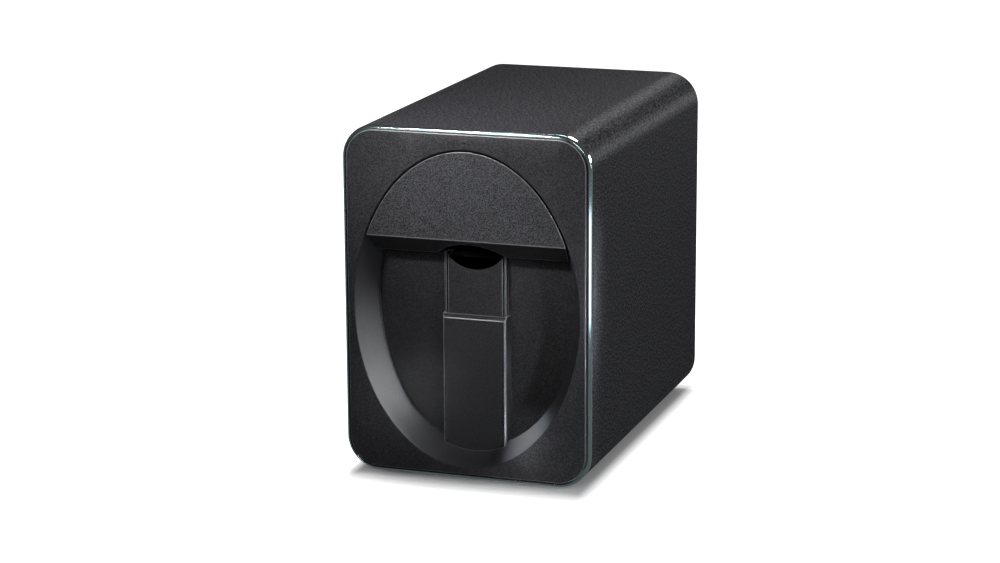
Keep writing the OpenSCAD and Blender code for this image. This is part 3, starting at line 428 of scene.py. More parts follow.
def rounded_outline(width, height, radius):
    """Points (x, z) round a rounded rectangle."""
    points = []
    for quarter in range(4):
        centre_x = (width / 2 - radius) * (1 if quarter in (0, 3) else -1)
        centre_z = (height / 2 - radius) * (1 if quarter in (0, 1) else -1)
        for step in range(CORNER_STEPS + 1):
            angle = (quarter + step / CORNER_STEPS) * math.pi / 2
            points.append((centre_x + radius * math.cos(angle), centre_z + radius * math.sin(angle)))
    return points


def outside_by(x, z, width, height, radius):
    """How far a point lies outside a rounded rectangle."""
    dx = abs(x) - (width / 2 - radius)
    dz = abs(z) - (height / 2 - radius)
    return math.hypot(max(dx, 0), max(dz, 0)) + min(max(dx, dz), 0) - radius


def seen_from_dish(angle, width, height, radius):
    """Where a ray from the dish's centre leaves a rounded rectangle."""
    near, far = 0.0, width + height
    for _ in range(HALVINGS):
        middle = (near + far) / 2
        x, z = middle * math.cos(angle), DISH_Z + middle * math.sin(angle)
        if outside_by(x, z, width, height, radius) < 0:
            near = middle
        else:
            far = middle
    return near * math.cos(angle), DISH_Z + near * math.sin(angle)


def ellipse_point(angle, a, b):
    """Where a ray from the dish's centre leaves an ellipse."""
    reach = a * b / math.hypot(b * math.cos(angle), a * math.sin(angle))
    return reach * math.cos(angle), DISH_Z + reach * math.sin(angle)


def lean_at(y):
    """How far the dish's wall has leaned in at depth y."""
    return DISH_TAPER * (y - PANEL_FACE) / DISH_DEPTH


def dish_loop(y, grow):
    """The dish's ellipse at depth y, grown or shrunk all round."""
    a, b = DISH_A - lean_at(y) + grow, DISH_B - lean_at(y) + grow
    turns = [2 * math.pi * i / DISH_STEPS for i in range(DISH_STEPS)]
    return [(x, y, z) for x, z in (ellipse_point(turn, a, b) for turn in turns)]


def object_of(data):
    """A new object in the scene, of a mesh, a lamp or a camera, with its name."""
    made = bpy.data.objects.new(data.name, data)
    bpy.context.scene.collection.objects.link(made)
    return made


def discard(piece):
    """The piece and its mesh are gone."""
    mesh = piece.data
    bpy.data.objects.remove(piece)
    bpy.data.meshes.remove(mesh)


def mesh_piece(name, points, faces, material, edges=()):
    """A new mesh object in the row frame, from points in metres."""
    mesh = bpy.data.meshes.new(name)
    mesh.from_pydata(points, edges, faces)
    mesh.materials.append(material)
    return object_of(mesh)


def face_outwards(piece):
    """The piece with every face turned to the outside."""
    shape = bmesh.new()
    shape.from_mesh(piece.data)
    bmesh.ops.recalc_face_normals(shape, faces=shape.faces)
    shape.to_mesh(piece.data)
    shape.free()
    return piece


def skin(name, loops, material, closed=False):
    """A skin over loops of equal length: closed joins the last to the first, else both ends are capped."""
    count = len(loops[0])
    points = [place(*point) for loop in loops for point in loop]
    faces = []
    for row in range(len(loops) if closed else len(loops) - 1):
        here, there = row * count, (row + 1) % len(loops) * count
        for i in range(count):
            j = (i + 1) % count
            faces.append((here + i, here + j, there + j, there + i))
    if not closed:
        faces.append(tuple(range(count)))
        faces.append(tuple(range((len(loops) - 1) * count, len(loops) * count)))
    return face_outwards(mesh_piece(name, points, faces, material))


def led_round(name, profile, material):
    """A closed profile of (distance outside the case's outline, y) led once round the case."""
    loops = []
    for out, y in profile:
        outline = rounded_outline(CASE_W + 2 * out, CASE_H + 2 * out, CASE_R + out)
        loops.append([(x, y, z) for x, z in outline])
    return skin(name, loops, material, closed=True)


def drawn_y(name, outline, y0, y1, material):
    """An outline of (x, z) drawn out from y0 to y1."""
    return skin(name, [[(x, y, z) for x, z in outline] for y in (y0, y1)], material)


def drawn_x(name, outline, x0, x1, material):
    """An outline of (y, z) drawn out from x0 to x1."""
    return skin(name, [[(x, y, z) for y, z in outline] for x in (x0, x1)], material)


def drawn_z(name, outline, z0, z1, material):
    """An outline of (x, y) drawn out from z0 to z1."""
    return skin(name, [[(x, y, z) for x, y in outline] for z in (z0, z1)], material)


def circle(u, v, radius, steps=64):
    """Points round a circle."""
    turns = [2 * math.pi * i / steps for i in range(steps)]
    return [(u + radius * math.cos(turn), v + radius * math.sin(turn)) for turn in turns]


def arc(u, v, radius, start, end, steps):
    """Points on an arc between two angles in degrees."""
    angles = [math.radians(start + (end - start) * i / steps) for i in range(steps + 1)]
    return [(u + radius * math.cos(angle), v + radius * math.sin(angle)) for angle in angles]


def rectangle(u0, v0, u1, v1):
    """The four corners between two opposite ones."""
    return [(u0, v0), (u1, v0), (u1, v1), (u0, v1)]


def baked(piece):
    """The piece with its modifiers turned into plain mesh."""
    graph = bpy.context.evaluated_depsgraph_get()
    mesh = bpy.data.meshes.new_from_object(piece.evaluated_get(graph), depsgraph=graph)
    old = piece.data
    piece.modifiers.clear()
    piece.data = mesh
    bpy.data.meshes.remove(old)
    mesh.name = piece.name
    return piece


def combine(piece, operation, *tools):
    """Cut the piece by, join it with, or keep what it shares with each tool, which is then gone."""
    for tool in tools:
        step = piece.modifiers.new("combine", "BOOLEAN")
        step.operation = operation
        step.solver = "EXACT"
        step.object = tool
        baked(piece)
        discard(tool)
    return piece


def softened(piece, width_mm, segments=2, angle=32, edge_highlight=None):
    """The piece with its sharp edges rounded, in a paler material that paints a highlight on them if asked,
    and its flats shaded evenly.
    """
    shape = bmesh.new()
    shape.from_mesh(piece.data)
    bmesh.ops.remove_doubles(shape, verts=shape.verts, dist=WELD * MM)
    bmesh.ops.dissolve_limit(shape, angle_limit=math.radians(FLAT_TURN), verts=shape.verts, edges=shape.edges)
    shape.to_mesh(piece.data)
    shape.free()
    edge = piece.modifiers.new("edge", "BEVEL")
    edge.width = width_mm * MM
    edge.segments = segments
    edge.limit_method = "ANGLE"
    edge.angle_limit = math.radians(angle)
    edge.use_clamp_overlap = False
    # The bevels can take a paler material, a painted highlight
    if edge_highlight:
        piece.data.materials.append(edge_highlight)
        edge.material = len(piece.data.materials) - 1
    baked(piece)
    piece.data.shade_smooth()
    even = piece.modifiers.new("even", "WEIGHTED_NORMAL")
    even.keep_sharp = True
    even.weight = 80
    return baked(piece)


def copy_of(node, name):
    """The CAD node's mesh as a piece of its own."""
    source = frame["nodes"][node]
    mesh = source.data.copy()
    mesh.transform(source.matrix_world)
    mesh.name = name
    return object_of(mesh)


def stands_for(piece, body, slot, *nodes):
    """The piece rides on a body and replaces CAD nodes; the slot is not used."""
    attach(piece, body)
    if nodes:
        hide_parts(*nodes)


# -------- case


def make_sleeve():
    """The seamless sleeve, with its rear rim rounded over."""
    section = [(0, RING_L), (0, CASE_D), (-WALL, CASE_D), (-WALL, RING_L)]
    sleeve = softened(led_round("sleeve_shell", section, POWDER_COAT), SLEEVE_EDGE, 3)
    stands_for(sleeve, "case", "sleeve_coat", "outer_sleeve")


def make_trim_ring():
    """The polished ring: a wide cut chamfer in front of a short cylindrical band."""
    ring = led_round("trim_ring_polished", [
        (-RING_W, 0), (-RING_CHAMFER, 0), (0, RING_CHAMFER), (0, RING_L), (-SPIGOT_IN, RING_L),
        (-SPIGOT_IN, SPIGOT_END), (-SPIGOT_IN - SPIGOT_WALL, SPIGOT_END),
        (-SPIGOT_IN - SPIGOT_WALL, PANEL_BACK), (-RING_W, PANEL_BACK)], CUT_ALUMINIUM)
    stands_for(softened(ring, CUT_EDGE), "case", "trim_metal", "front_trim_ring")


def make_front_panel():
    """The front panel and the dish's leaning wall, one moulding led round the dish."""
    turns = [2 * math.pi * i / DISH_STEPS for i in range(DISH_STEPS)]
    outer = [seen_from_dish(turn, PANEL_W, PANEL_H, PANEL_R) for turn in turns]
    loops = [
        [(x, PANEL_BACK, z) for x, z in outer],
        [(x, PANEL_FACE, z) for x, z in outer],
        dish_loop(PANEL_FACE, 0),
        dish_loop(RIM, 0),
        dish_loop(RIM, RIM_UNDERCUT),
        dish_loop(DISH_FLOOR, RIM_UNDERCUT),
        dish_loop(DISH_FLOOR, DISH_WALL),
        dish_loop(PANEL_BACK, DISH_WALL),
    ]
    panel = skin("front_panel_and_dish", loops, SPARK_ABS, closed=True)
    # The wall takes the lighter black, which paints light on it
    panel.data.materials.append(SATIN_ABS_PAINTED_LIGHT)
    for face in panel.data.polygons[2 * DISH_STEPS:3 * DISH_STEPS]:
        face.material_index = 1
    hole = drawn_y("light_hole", circle(0, LIGHT_Z, LIGHT_R, 24),
                   PANEL_FACE - PAST, PANEL_BACK + PAST, SPARK_ABS)
    # Its rounded edges get a paler black as a painted highlight
    softened(panel, EDGE_BEVEL, 3, edge_highlight=PAINTED_EDGE_HIGHLIGHT_ABS)
    # Round the dish the edge keeps the panel's material; only the outer edge keeps the painted highlight
    for face in panel.data.polygons:
        x, z = face.center.x / MM, above_middle(face.center.z) - DISH_Z
        if face.material_index == 2 and math.hypot(x / (DISH_A + NEAR_DISH), z / (DISH_B + NEAR_DISH)) < 1:
            face.material_index = 0
    combine(panel, "DIFFERENCE", hole)
    stands_for(panel, "case", "panel_plastic", "front_fascia")


# -------- cover


def make_front_cover():
    """The half-ellipse plug over the dish, hollow behind, with its visor and the finger arch."""
    side, top = DISH_A + WELL_PAST, DISH_B + WELL_PAST
    plug = skin("front_cover_shell", [
        dish_loop(PANEL_FACE, -COVER_GAP), dish_loop(COVER_BACK, -COVER_GAP)], COARSE_ABS)
    keep = drawn_x("visor_line", [
        (PANEL_FACE - PAST, COVER_EDGE_Z),
        (PANEL_FACE, COVER_EDGE_Z), (VISOR_Y, VISOR_Z), (COVER_BACK + PAST, VISOR_Z),
        (COVER_BACK + PAST, top), (PANEL_FACE - PAST, top)], -side, side, COARSE_ABS)
    combine(plug, "INTERSECT", keep)
    core = skin("core", [
        dish_loop(PANEL_FACE + COVER_WALL, -COVER_GAP - COVER_WALL),
        dish_loop(COVER_BACK + PAST, -COVER_GAP - COVER_WALL)], COARSE_ABS)
    above = drawn_x("above", [
        (PANEL_FACE + COVER_WALL - APART, COVER_EDGE_Z + COVER_WALL / 2),
        (VISOR_Y + COVER_WALL / 2, VISOR_Z + COVER_WALL), (COVER_BACK + 2 * PAST, VISOR_Z + COVER_WALL),
        (COVER_BACK + 2 * PAST, top), (PANEL_FACE + COVER_WALL - APART, top)], -side, side, COARSE_ABS)
    combine(core, "INTERSECT", above)
    hood = drawn_y("hood", circle(0, ARCH_Z, ARCH_R + COVER_WALL, ROUND_STEPS),
                   PANEL_FACE - PAST, COVER_BACK + 3 * PAST, COARSE_ABS)
    combine(core, "DIFFERENCE", hood)
    arch = drawn_y("arch", circle(0, ARCH_Z, ARCH_R, ROUND_STEPS),
                   PANEL_FACE - PAST, COVER_BACK + PAST, COARSE_ABS)
    combine(plug, "DIFFERENCE", core, arch)
    # Its rounded edges get a paler black as a painted highlight
    softened(plug, EDGE_BEVEL, 3, edge_highlight=PAINTED_EDGE_HIGHLIGHT_ABS)
    # The slope under the visor faces down and takes the darker black: painted shade
    plug.data.materials.append(DULL_ABS_PAINTED_SHADE)
    for face in plug.data.polygons:
        if face.normal.z < -0.3 and abs(face.normal.x) < 0.2 and face.material_index == 0:
            face.material_index = 2
    stands_for(plug, "cover", "panel_plastic", "front_cover")


# -------- finger rest and guide


def make_finger_rest():
    """The upright plate with the cradle behind it, hollowed for a finger."""
    half = REST_W / 2
    # The rest's darker black paints the shade of the dish it sits in
    rest = drawn_x("finger_rest_body", [
        (REST_FRONT, REST_TOP - PLATE_L), (REST_FRONT + PLATE_T, REST_TOP - PLATE_L),
        (REST_FRONT + PLATE_T, CRADLE_Z), (REST_BACK, CRADLE_Z), (REST_BACK, REST_TOP),
        (REST_FRONT, REST_TOP)], -half, half, DULL_ABS_PAINTED_SHADE)
    stop = drawn_y("stop", rectangle(-STOP_HALF, CRADLE_Z + PAST, STOP_HALF, STOP_TOP),
                   REST_BACK - STOP_T, REST_BACK, DULL_ABS_PAINTED_SHADE)
    trough = drawn_y("trough", circle(0, TROUGH_Z, TROUGH_R, ROUND_STEPS),
                     REST_FRONT - PAST, REST_BACK - STOP_T, DULL_ABS_PAINTED_SHADE)
    combine(rest, "DIFFERENCE", trough)
    combine(rest, "UNION", stop)
    for y in POST_Y:
        outline = circle(0, y, BOSS_R, 48)
        combine(rest, "UNION", drawn_z("boss", outline, CRADLE_Z - BOSS_L, CRADLE_Z + PAST, DULL_ABS_PAINTED_SHADE))
    # Its rounded edges get a paler black as a painted highlight
    softened(rest, REST_EDGE, 3, edge_highlight=PAINTED_EDGE_HIGHLIGHT_ABS)
    stands_for(rest, "rest", "panel_plastic", "finger_rest")


def guide_outline():
    """The guide's section seen from above: leaning sides and two rounded long edges."""
    half = GUIDE_W / 2
    centre_x = half - GUIDE_LEAN - GUIDE_R
    right = [(half, DISH_FLOOR)] + arc(centre_x, GUIDE_FACE + GUIDE_R, GUIDE_R, -GUIDE_TURN, -90, 12)
    return right + [(-x, y) for x, y in reversed(right)]


def make_finger_guide():
    """The raised housing that the finger rest sinks into, its foot on the dish's wall."""
    bottom = DISH_Z - DISH_B
    # The guide's darker black paints the shade of the dish it stands in
    guide = drawn_z("finger_guide_housing", guide_outline(), bottom, GUIDE_TOP, DULL_ABS_PAINTED_SHADE)
    inside = skin("inside", [dish_loop(y, -GUIDE_FIT) for y in (GUIDE_FACE - PAST, DISH_FLOOR)], DULL_ABS_PAINTED_SHADE)
    brow = drawn_x("brow", [
        (DISH_FLOOR + 3 * PAST, bottom - WELL_PAST), (GUIDE_FACE - PAST, bottom - WELL_PAST),
        (GUIDE_FACE - PAST, GUIDE_TOP - GUIDE_BEVEL - PAST), (GUIDE_FACE + GUIDE_BEVEL, GUIDE_TOP),
        (GUIDE_FACE + GUIDE_BEVEL, GUIDE_TOP + PAST), (DISH_FLOOR + 3 * PAST, GUIDE_TOP + PAST)],
        -GUIDE_W, GUIDE_W, DULL_ABS_PAINTED_SHADE)
    combine(guide, "INTERSECT", inside, brow)
    channel = rectangle(-SLOT_HALF, GUIDE_FACE + GUIDE_WALL, SLOT_HALF, DISH_FLOOR + PAST)
    combine(guide, "DIFFERENCE", drawn_z("channel", channel, SLOT_LOW, GUIDE_TOP + PAST, DULL_ABS_PAINTED_SHADE))
    for side in (-1, 1):
        rail = rectangle(side * SLOT_HALF, GUIDE_TOP - PAST, side * (SLOT_HALF + RAIL_W), RAIL_TOP)
        combine(guide, "UNION", drawn_y("rail", rail, RAIL_FACE, DISH_FLOOR, DULL_ABS_PAINTED_SHADE))
    # Its rounded edges get a paler black as a painted highlight
    softened(guide, MOULDED_EDGE, edge_highlight=PAINTED_EDGE_HIGHLIGHT_ABS)
    # The two rounded long edges take the same painted highlight as the bevels
    for face in guide.data.polygons:
        if face.normal.y < 0 and 0.3 < abs(face.normal.x) < 0.97:
            face.material_index = 1
    stands_for(guide, "case", "panel_plastic", "finger_guide")


# -------- small parts


def turned(name, profile, x, z, material, steps=64):
    """A solid turned about a line along y: circles of (radius, y), closed at both ends."""
    loops = [[(u, y, v) for u, v in circle(x, z, radius, steps)] for radius, y in profile]
    return skin(name, loops, material)


def joined(piece, sharp_from, *others):
    """One smooth mesh of several pieces, sharp from this many degrees on, and the others gone."""
    shape = bmesh.new()
    shape.from_mesh(piece.data)
    for other in others:
        shape.from_mesh(other.data)
        discard(other)
    shape.to_mesh(piece.data)
    shape.free()
    piece.data.shade_smooth()
    piece.data.set_sharp_from_angle(angle=math.radians(sharp_from))
    return piece


def make_edged_copy(node, name, body, edge_mm, material):
    """A moulded or pressed part as the CAD has it, with the small edge rounding of the real one."""
    piece = softened(copy_of(node, name), edge_mm)
    piece.data.materials.clear()
    piece.data.materials.append(material)
    stands_for(piece, body, NODE_SLOT[node], node)


def make_power_button():
    """The button's cap: a shallow hollow for a fingertip, and the bore that slides on the switch."""
    (x0, front, z0), (x1, back, z1) = box_mm("power_button")
    radius, bore = (x1 - x0) / 2, BACK_FRONT - APART
    hollow = [(radius * share, back - HOLLOW * deep) for share, deep in HOLLOW_LINE]
    button = turned("power_button_cap", [
        (radius / 2, bore), (radius / 2, front), (radius, front), (radius, back), *hollow],
        (x0 + x1) / 2, (z0 + z1) / 2, INNER_ABS)
    stands_for(softened(button, MOULDED_EDGE, 3, 40), "button", "dark_plastic", "power_button")


def make_sockets():
    """The inlet with its metal pin, and the data socket's folded shell with its plastic tongue."""
    make_edged_copy("dc_inlet", "dc_inlet_body", "case", MOULDED_EDGE, INNER_ABS)
    (x0, _, z0), (x1, back, z1) = box_mm("dc_inlet")
    pin = turned("dc_inlet_pin", [(PIN_R * share, back - inside) for share, inside in PIN_LINE],
                 (x0 + x1) / 2, (z0 + z1) / 2, GROUND_ROD, 32)
    stands_for(softened(pin, PIN_EDGE), "case", "rod_steel")
    make_edged_copy("usb_socket", "usb_socket_shell", "case", FOLDED_EDGE, ZINC_SHEET)
    (x0, _, z0), (x1, back, z1) = box_mm("usb_socket")
    x, z = (x0 + x1) / 2, (z0 + z1) / 2
    outline = rectangle(x - TONGUE_W / 2, z - TONGUE_H / 2, x + TONGUE_W / 2, z + TONGUE_H / 2)
    tongue = drawn_y("usb_socket_tongue", outline, back - TONGUE_ROOT, back - TONGUE_TIP, INNER_ABS)
    stands_for(softened(tongue, FOLDED_EDGE), "case", "dark_plastic")


def make_finger_pad():
    """The silicone pad: a hollowed strip with low ribs across it and soft ends."""
    (x0, front, _), (x1, back, top) = box_mm("finger_pad")
    reach = math.degrees(math.asin((x1 - x0) / 2 / TROUGH_R))
    steps = round((back - front) / PAD_RIB * PAD_RIB_STEPS)
    loops = []
    for step in range(steps + 1):
        y = front + (back - front) * step / steps
        ending = min(1.0, min(y - front, back - y) / PAD_END)
        crest = PAD_RIB_H * (0.5 - 0.5 * math.cos(2 * math.pi * (y - front) / PAD_RIB)) * ending
        thick = PAD_T - PAD_RIB_H + crest - PAD_END * PAD_END_DROP * (1 - math.sqrt(1 - (1 - ending) ** 2))
        outer = arc(0, TROUGH_Z, TROUGH_R, -90 - reach, -90 + reach, PAD_ARC_STEPS)
        inner = arc(0, TROUGH_Z, TROUGH_R - thick,
                    -90 + reach - PAD_SIDE_TURN, -90 - reach + PAD_SIDE_TURN, PAD_ARC_STEPS)
        loops.append([(x, y, min(z, top)) for x, z in outer + inner])
    pad = skin("finger_pad_ribbed", loops, RUBBER)
    pad.data.shade_smooth()
    stands_for(pad, "rest", "soft_rubber", "finger_pad")


def make_cap_seal():
    """The parking cap's lip: a thick foot that thins to a soft rounded edge."""
    (x0, y0, low), (x1, y1, high) = box_mm("cap_seal")
    outer = [(-inset, low + up) for inset, up in SEAL_FOOT]
    outer += [(-inset, high - down) for inset, down in SEAL_TIP]
    inner = [(-SEAL_LIP - out, z) for out, z in reversed(outer)]
    loops = []
    for out, z in outer + inner:
        outline = rounded_outline(x1 - x0 + 2 * out, y1 - y0 + 2 * out, SEAL_R + out)
        loops.append([((x0 + x1) / 2 + u, (y0 + y1) / 2 + v, z) for u, v in outline])
    seal = skin("cap_seal_lip", loops, RUBBER, closed=True)
    seal.data.shade_smooth()
    stands_for(seal, "gantry", "soft_rubber", "cap_seal")


def make_return_spring():
    """The coil under the finger rest: round wire on a helix, drawn at one length though the real one shortens
    by the travel when the rest is down.
    """
    lo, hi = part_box("rest_spring")
    y = (back_from_mouth(lo.y) + back_from_mouth(hi.y)) / 2
    low, high = above_middle(lo.z) + WIRE_R, above_middle(hi.z) - WIRE_R
    coil_r = (hi.x - lo.x) / 2 / MM - WIRE_R
    steps = SPRING_TURNS * SPRING_STEPS
    loops = []
    for step in range(steps + 1):
        turn = 2 * math.pi * SPRING_TURNS * step / steps
        level = low + (high - low) * step / steps
        loops.append([((coil_r + out) * math.cos(turn), y + (coil_r + out) * math.sin(turn), level + up)
                      for out, up in circle(0, 0, WIRE_R, WIRE_STEPS)])
    spring = skin("return_spring_coiled", loops, GROUND_ROD)
    spring.data.shade_smooth()
    stands_for(spring, "case", NODE_SLOT["rest_spring"], "rest_spring")
    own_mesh(spring)


# -------- repeated parts, made by geometry trees


def new_tree(name, **inputs):
    """A geometry tree with one geometry output, and inputs whose names are listed under their kind."""
    tree = bpy.data.node_groups.new(name, "GeometryNodeTree")
    for kind, titles in {**inputs, "Material": "Material"}.items():
        for title in titles.split(", "):
            tree.interface.new_socket(name=title, in_out="INPUT", socket_type="NodeSocket" + kind)
    tree.interface.new_socket(name="Geometry", in_out="OUTPUT", socket_type="NodeSocketGeometry")
    return tree, add(tree, "NodeGroupInput").outputs, add(tree, "NodeGroupOutput")


def grown(piece, tree, **values):
    """The plain mesh that a tree gives on a piece, with its named inputs set (a space is written _)."""
    step = piece.modifiers.new("grown", "NODES")
    step.node_group = tree
    for socket in tree.interface.items_tree:
        key = socket.name.lower().replace(" ", "_")
        if key in values:
            step[socket.identifier] = values[key]
    return baked(piece)


def halved(tree, value, sign=1):
    """Half of a value, or of its opposite."""
    return arithmetic(tree, "MULTIPLY", value, 0.5 * sign)


def along_z(tree, value):
    """A vector of this length along z."""
    return add(tree, "ShaderNodeCombineXYZ", {"Z": value}).outputs[0]


def moved(tree, shape, **how):
    """The shape after a Translation, a Rotation or both."""
    return add(tree, "GeometryNodeTransform", {"Geometry": shape, **how}).outputs[0]


def cut_by(tree, shape, tool):
    """The shape without what the tool takes."""
    return add(tree, "GeometryNodeMeshBoolean", {
        "Mesh 1": shape, "Mesh 2": tool}, operation="DIFFERENCE", solver="EXACT").outputs[0]


def circle_curve(tree, radius, steps):
    """A closed round curve."""
    return add(tree, "GeometryNodeCurvePrimitiveCircle", {
        "Resolution": steps, "Radius": radius}, mode="RADIUS").outputs["Curve"]


def round_bar(tree, path, radius, steps, caps=False):
    """A bar of round section along a curve."""
    return add(tree, "GeometryNodeCurveToMesh", {
        "Curve": path, "Profile Curve": circle_curve(tree, radius, steps), "Fill Caps": caps}).outputs[0]


def standing(tree, radius, depth, vertices, sign=1):
    """A cylinder that stands on, or hangs from, the tree's ground."""
    shape = add(tree, "GeometryNodeMeshCylinder", {"Vertices": vertices, "Radius": radius, "Depth": depth})
    return moved(tree, shape.outputs["Mesh"], Translation=along_z(tree, halved(tree, depth, sign)))


def set_together(tree, *shapes):
    """Several shapes as one."""
    both = add(tree, "GeometryNodeJoinGeometry")
    for shape in shapes:
        tree.links.new(shape, both.inputs[0])
    return both.outputs[0]


def hand_out(tree, given, result, shape):
    """The tree's last steps: copies made real, and the material set."""
    real = add(tree, "GeometryNodeRealizeInstances", {"Geometry": shape})
    dressed = add(tree, "GeometryNodeSetMaterial", {
        "Geometry": real.outputs[0], "Material": given["Material"]})
    tree.links.new(dressed.outputs[0], result.inputs[0])


def set_out(tree, given, result, shape):
    """The shape at the four corners of a rectangle, turned and put in its place."""
    corners = add(tree, "GeometryNodeMeshGrid", {
        "Size X": given["Across"], "Size Y": given["Along"], "Vertices X": 2, "Vertices Y": 2})
    copies = add(tree, "GeometryNodeInstanceOnPoints", {
        "Points": corners.outputs["Mesh"], "Instance": shape})
    placed = moved(tree, copies.outputs[0], Translation=given["Centre"], Rotation=given["Turn"])
    hand_out(tree, given, result, placed)


def screw_tree():
    """Four pan-head screws, each with a cross recess in its head."""
    tree, given, result = new_tree("cross_recess_screws", Vector="Centre, Turn", Float=(
        "Head radius, Head height, Shank radius, Shank length, Recess length, Recess width, Across, Along"))
    head = standing(tree, given["Head radius"], given["Head height"], 40)
    for long_side, short_side in (("Recess length", "Recess width"), ("Recess width", "Recess length")):
        size = add(tree, "ShaderNodeCombineXYZ", {
            "X": given[long_side], "Y": given[short_side], "Z": given["Head height"]})
        box = add(tree, "GeometryNodeMeshCube", {"Size": size.outputs[0]}).outputs["Mesh"]
        head = cut_by(tree, head, moved(tree, box, Translation=along_z(tree, given["Head height"])))
    shank = standing(tree, given["Shank radius"], given["Shank length"], 24, -1)
    set_out(tree, given, result, set_together(tree, head, shank))
    return tree


def foot_tree():
    """Four round bumpers with a ring groove underneath and a stud that snaps into the base."""
    tree, given, result = new_tree("bumper_feet", Vector="Centre, Turn", Float=(
        "Radius, Height, Stud radius, Stud length, Groove radius, Groove width, Across, Along"))
    foot = standing(tree, given["Radius"], given["Height"], 48, -1)
    hoop = round_bar(tree, circle_curve(tree, given["Groove radius"], 48), given["Groove width"], 16)
    down = along_z(tree, halved(tree, given["Height"], -2))
    foot = cut_by(tree, foot, moved(tree, hoop, Translation=down))
    stud = standing(tree, given["Stud radius"], given["Stud length"], 24)
    set_out(tree, given, result, set_together(tree, foot, stud))
    return tree


def thread_tree():
    """A core with several helical ridges round it, along its own height."""
    tree, given, result = new_tree(
        "screw_thread", Vector="Centre, Turn", Int="Starts",
        Float="Core radius, Crest radius, Ridge radius, Lead, Length")
    turns = arithmetic(tree, "DIVIDE", given["Length"], given["Lead"])
    radius = arithmetic(tree, "SUBTRACT", given["Crest radius"], given["Ridge radius"])
    path = add(tree, "GeometryNodeCurveSpiral", {
        "Resolution": 28, "Rotations": turns, "Start Radius": radius, "End Radius": radius,
        "Height": given["Length"]})
    ridge = round_bar(tree, path.outputs["Curve"], given["Ridge radius"], 6, caps=True)
    points = add(tree, "GeometryNodeMeshLine", {"Count": given["Starts"], "Offset": (0.0, 0.0, 0.0)})
    share = arithmetic(tree, "DIVIDE", 2 * math.pi, given["Starts"])
    angle = arithmetic(tree, "MULTIPLY", share, add(tree, "GeometryNodeInputIndex").outputs[0])
    ridges = add(tree, "GeometryNodeInstanceOnPoints", {
        "Points": points.outputs[0], "Instance": ridge, "Rotation": along_z(tree, angle)})
    core = standing(tree, given["Core radius"], given["Length"], 32)
    screw = set_together(tree, core, ridges.outputs[0])
    hand_out(tree, given, result, moved(tree, screw, Translation=given["Centre"], Rotation=given["Turn"]))
    return tree


def tooth_tree():
    """Round belt teeth, evenly spaced along a closed path of edges."""
    tree, given, result = new_tree("belt_teeth", Geometry="Path", Int="Count", Float="Radius, Width")
    path = add(tree, "GeometryNodeMeshToCurve", {"Mesh": given["Path"]})
    spaced = add(tree, "GeometryNodeResampleCurve", {
        "Curve": path.outputs[0], "Count": given["Count"]}, mode="COUNT")
    tooth = add(tree, "GeometryNodeMeshCylinder", {
        "Vertices": 8, "Radius": given["Radius"], "Depth": given["Width"]})
    teeth = add(tree, "GeometryNodeInstanceOnPoints", {
        "Points": spaced.outputs[0], "Instance": moved(tree, tooth.outputs["Mesh"], Rotation=TO_FRONT)})
    hand_out(tree, given, result, teeth.outputs[0])
    return tree


def make_screws(tree, node, name, faces):
    """The four screws of a CAD node, their heads towards the back or upwards."""
    lo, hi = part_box(node)
    middle = (lo + hi) / 2
    if faces == "back":
        seat, along, turn = hi.y - SCREW_HEAD_H * MM, hi.z - lo.z, TO_BACK
        centre, length = (middle.x, seat, middle.z), seat - lo.y
    else:
        seat, along, turn = hi.z - SCREW_HEAD_H * MM, hi.y - lo.y, UPRIGHT
        centre, length = (middle.x, middle.y, seat), seat - lo.z
    screws = grown(
        mesh_piece(name, [], [], ZINC_SCREW), tree, head_radius=SCREW_HEAD_R * MM,
        head_height=SCREW_HEAD_H * MM, shank_radius=SCREW_R * MM, shank_length=length,
        recess_length=RECESS_L * MM, recess_width=RECESS_W * MM, across=hi.x - lo.x - 2 * SCREW_HEAD_R * MM,
        along=along - 2 * SCREW_HEAD_R * MM, centre=centre, turn=turn, material=ZINC_SCREW)
    stands_for(softened(screws, CUT_EDGE), "case", "fastener_steel", node)


def make_feet():
    """The four feet, with studs that reach through to the base."""
    lo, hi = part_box("rubber_feet")
    middle = (lo + hi) / 2
    feet = grown(
        mesh_piece("rubber_bumper_feet", [], [], RUBBER), foot_tree(), radius=FOOT_R * MM, height=FOOT_H * MM,
        stud_radius=FOOT_STUD_R * MM, stud_length=hi.z - FOOT_H * MM,
        groove_radius=FOOT_R * GROOVE_AT * MM, groove_width=GROOVE_R * MM,
        across=hi.x - lo.x - 2 * FOOT_R * MM, along=hi.y - lo.y - 2 * FOOT_R * MM,
        centre=(middle.x, middle.y, FOOT_H * MM), turn=UPRIGHT, material=RUBBER)
    stands_for(softened(feet, FOOT_EDGE, angle=40), "case", "soft_rubber", "rubber_feet")


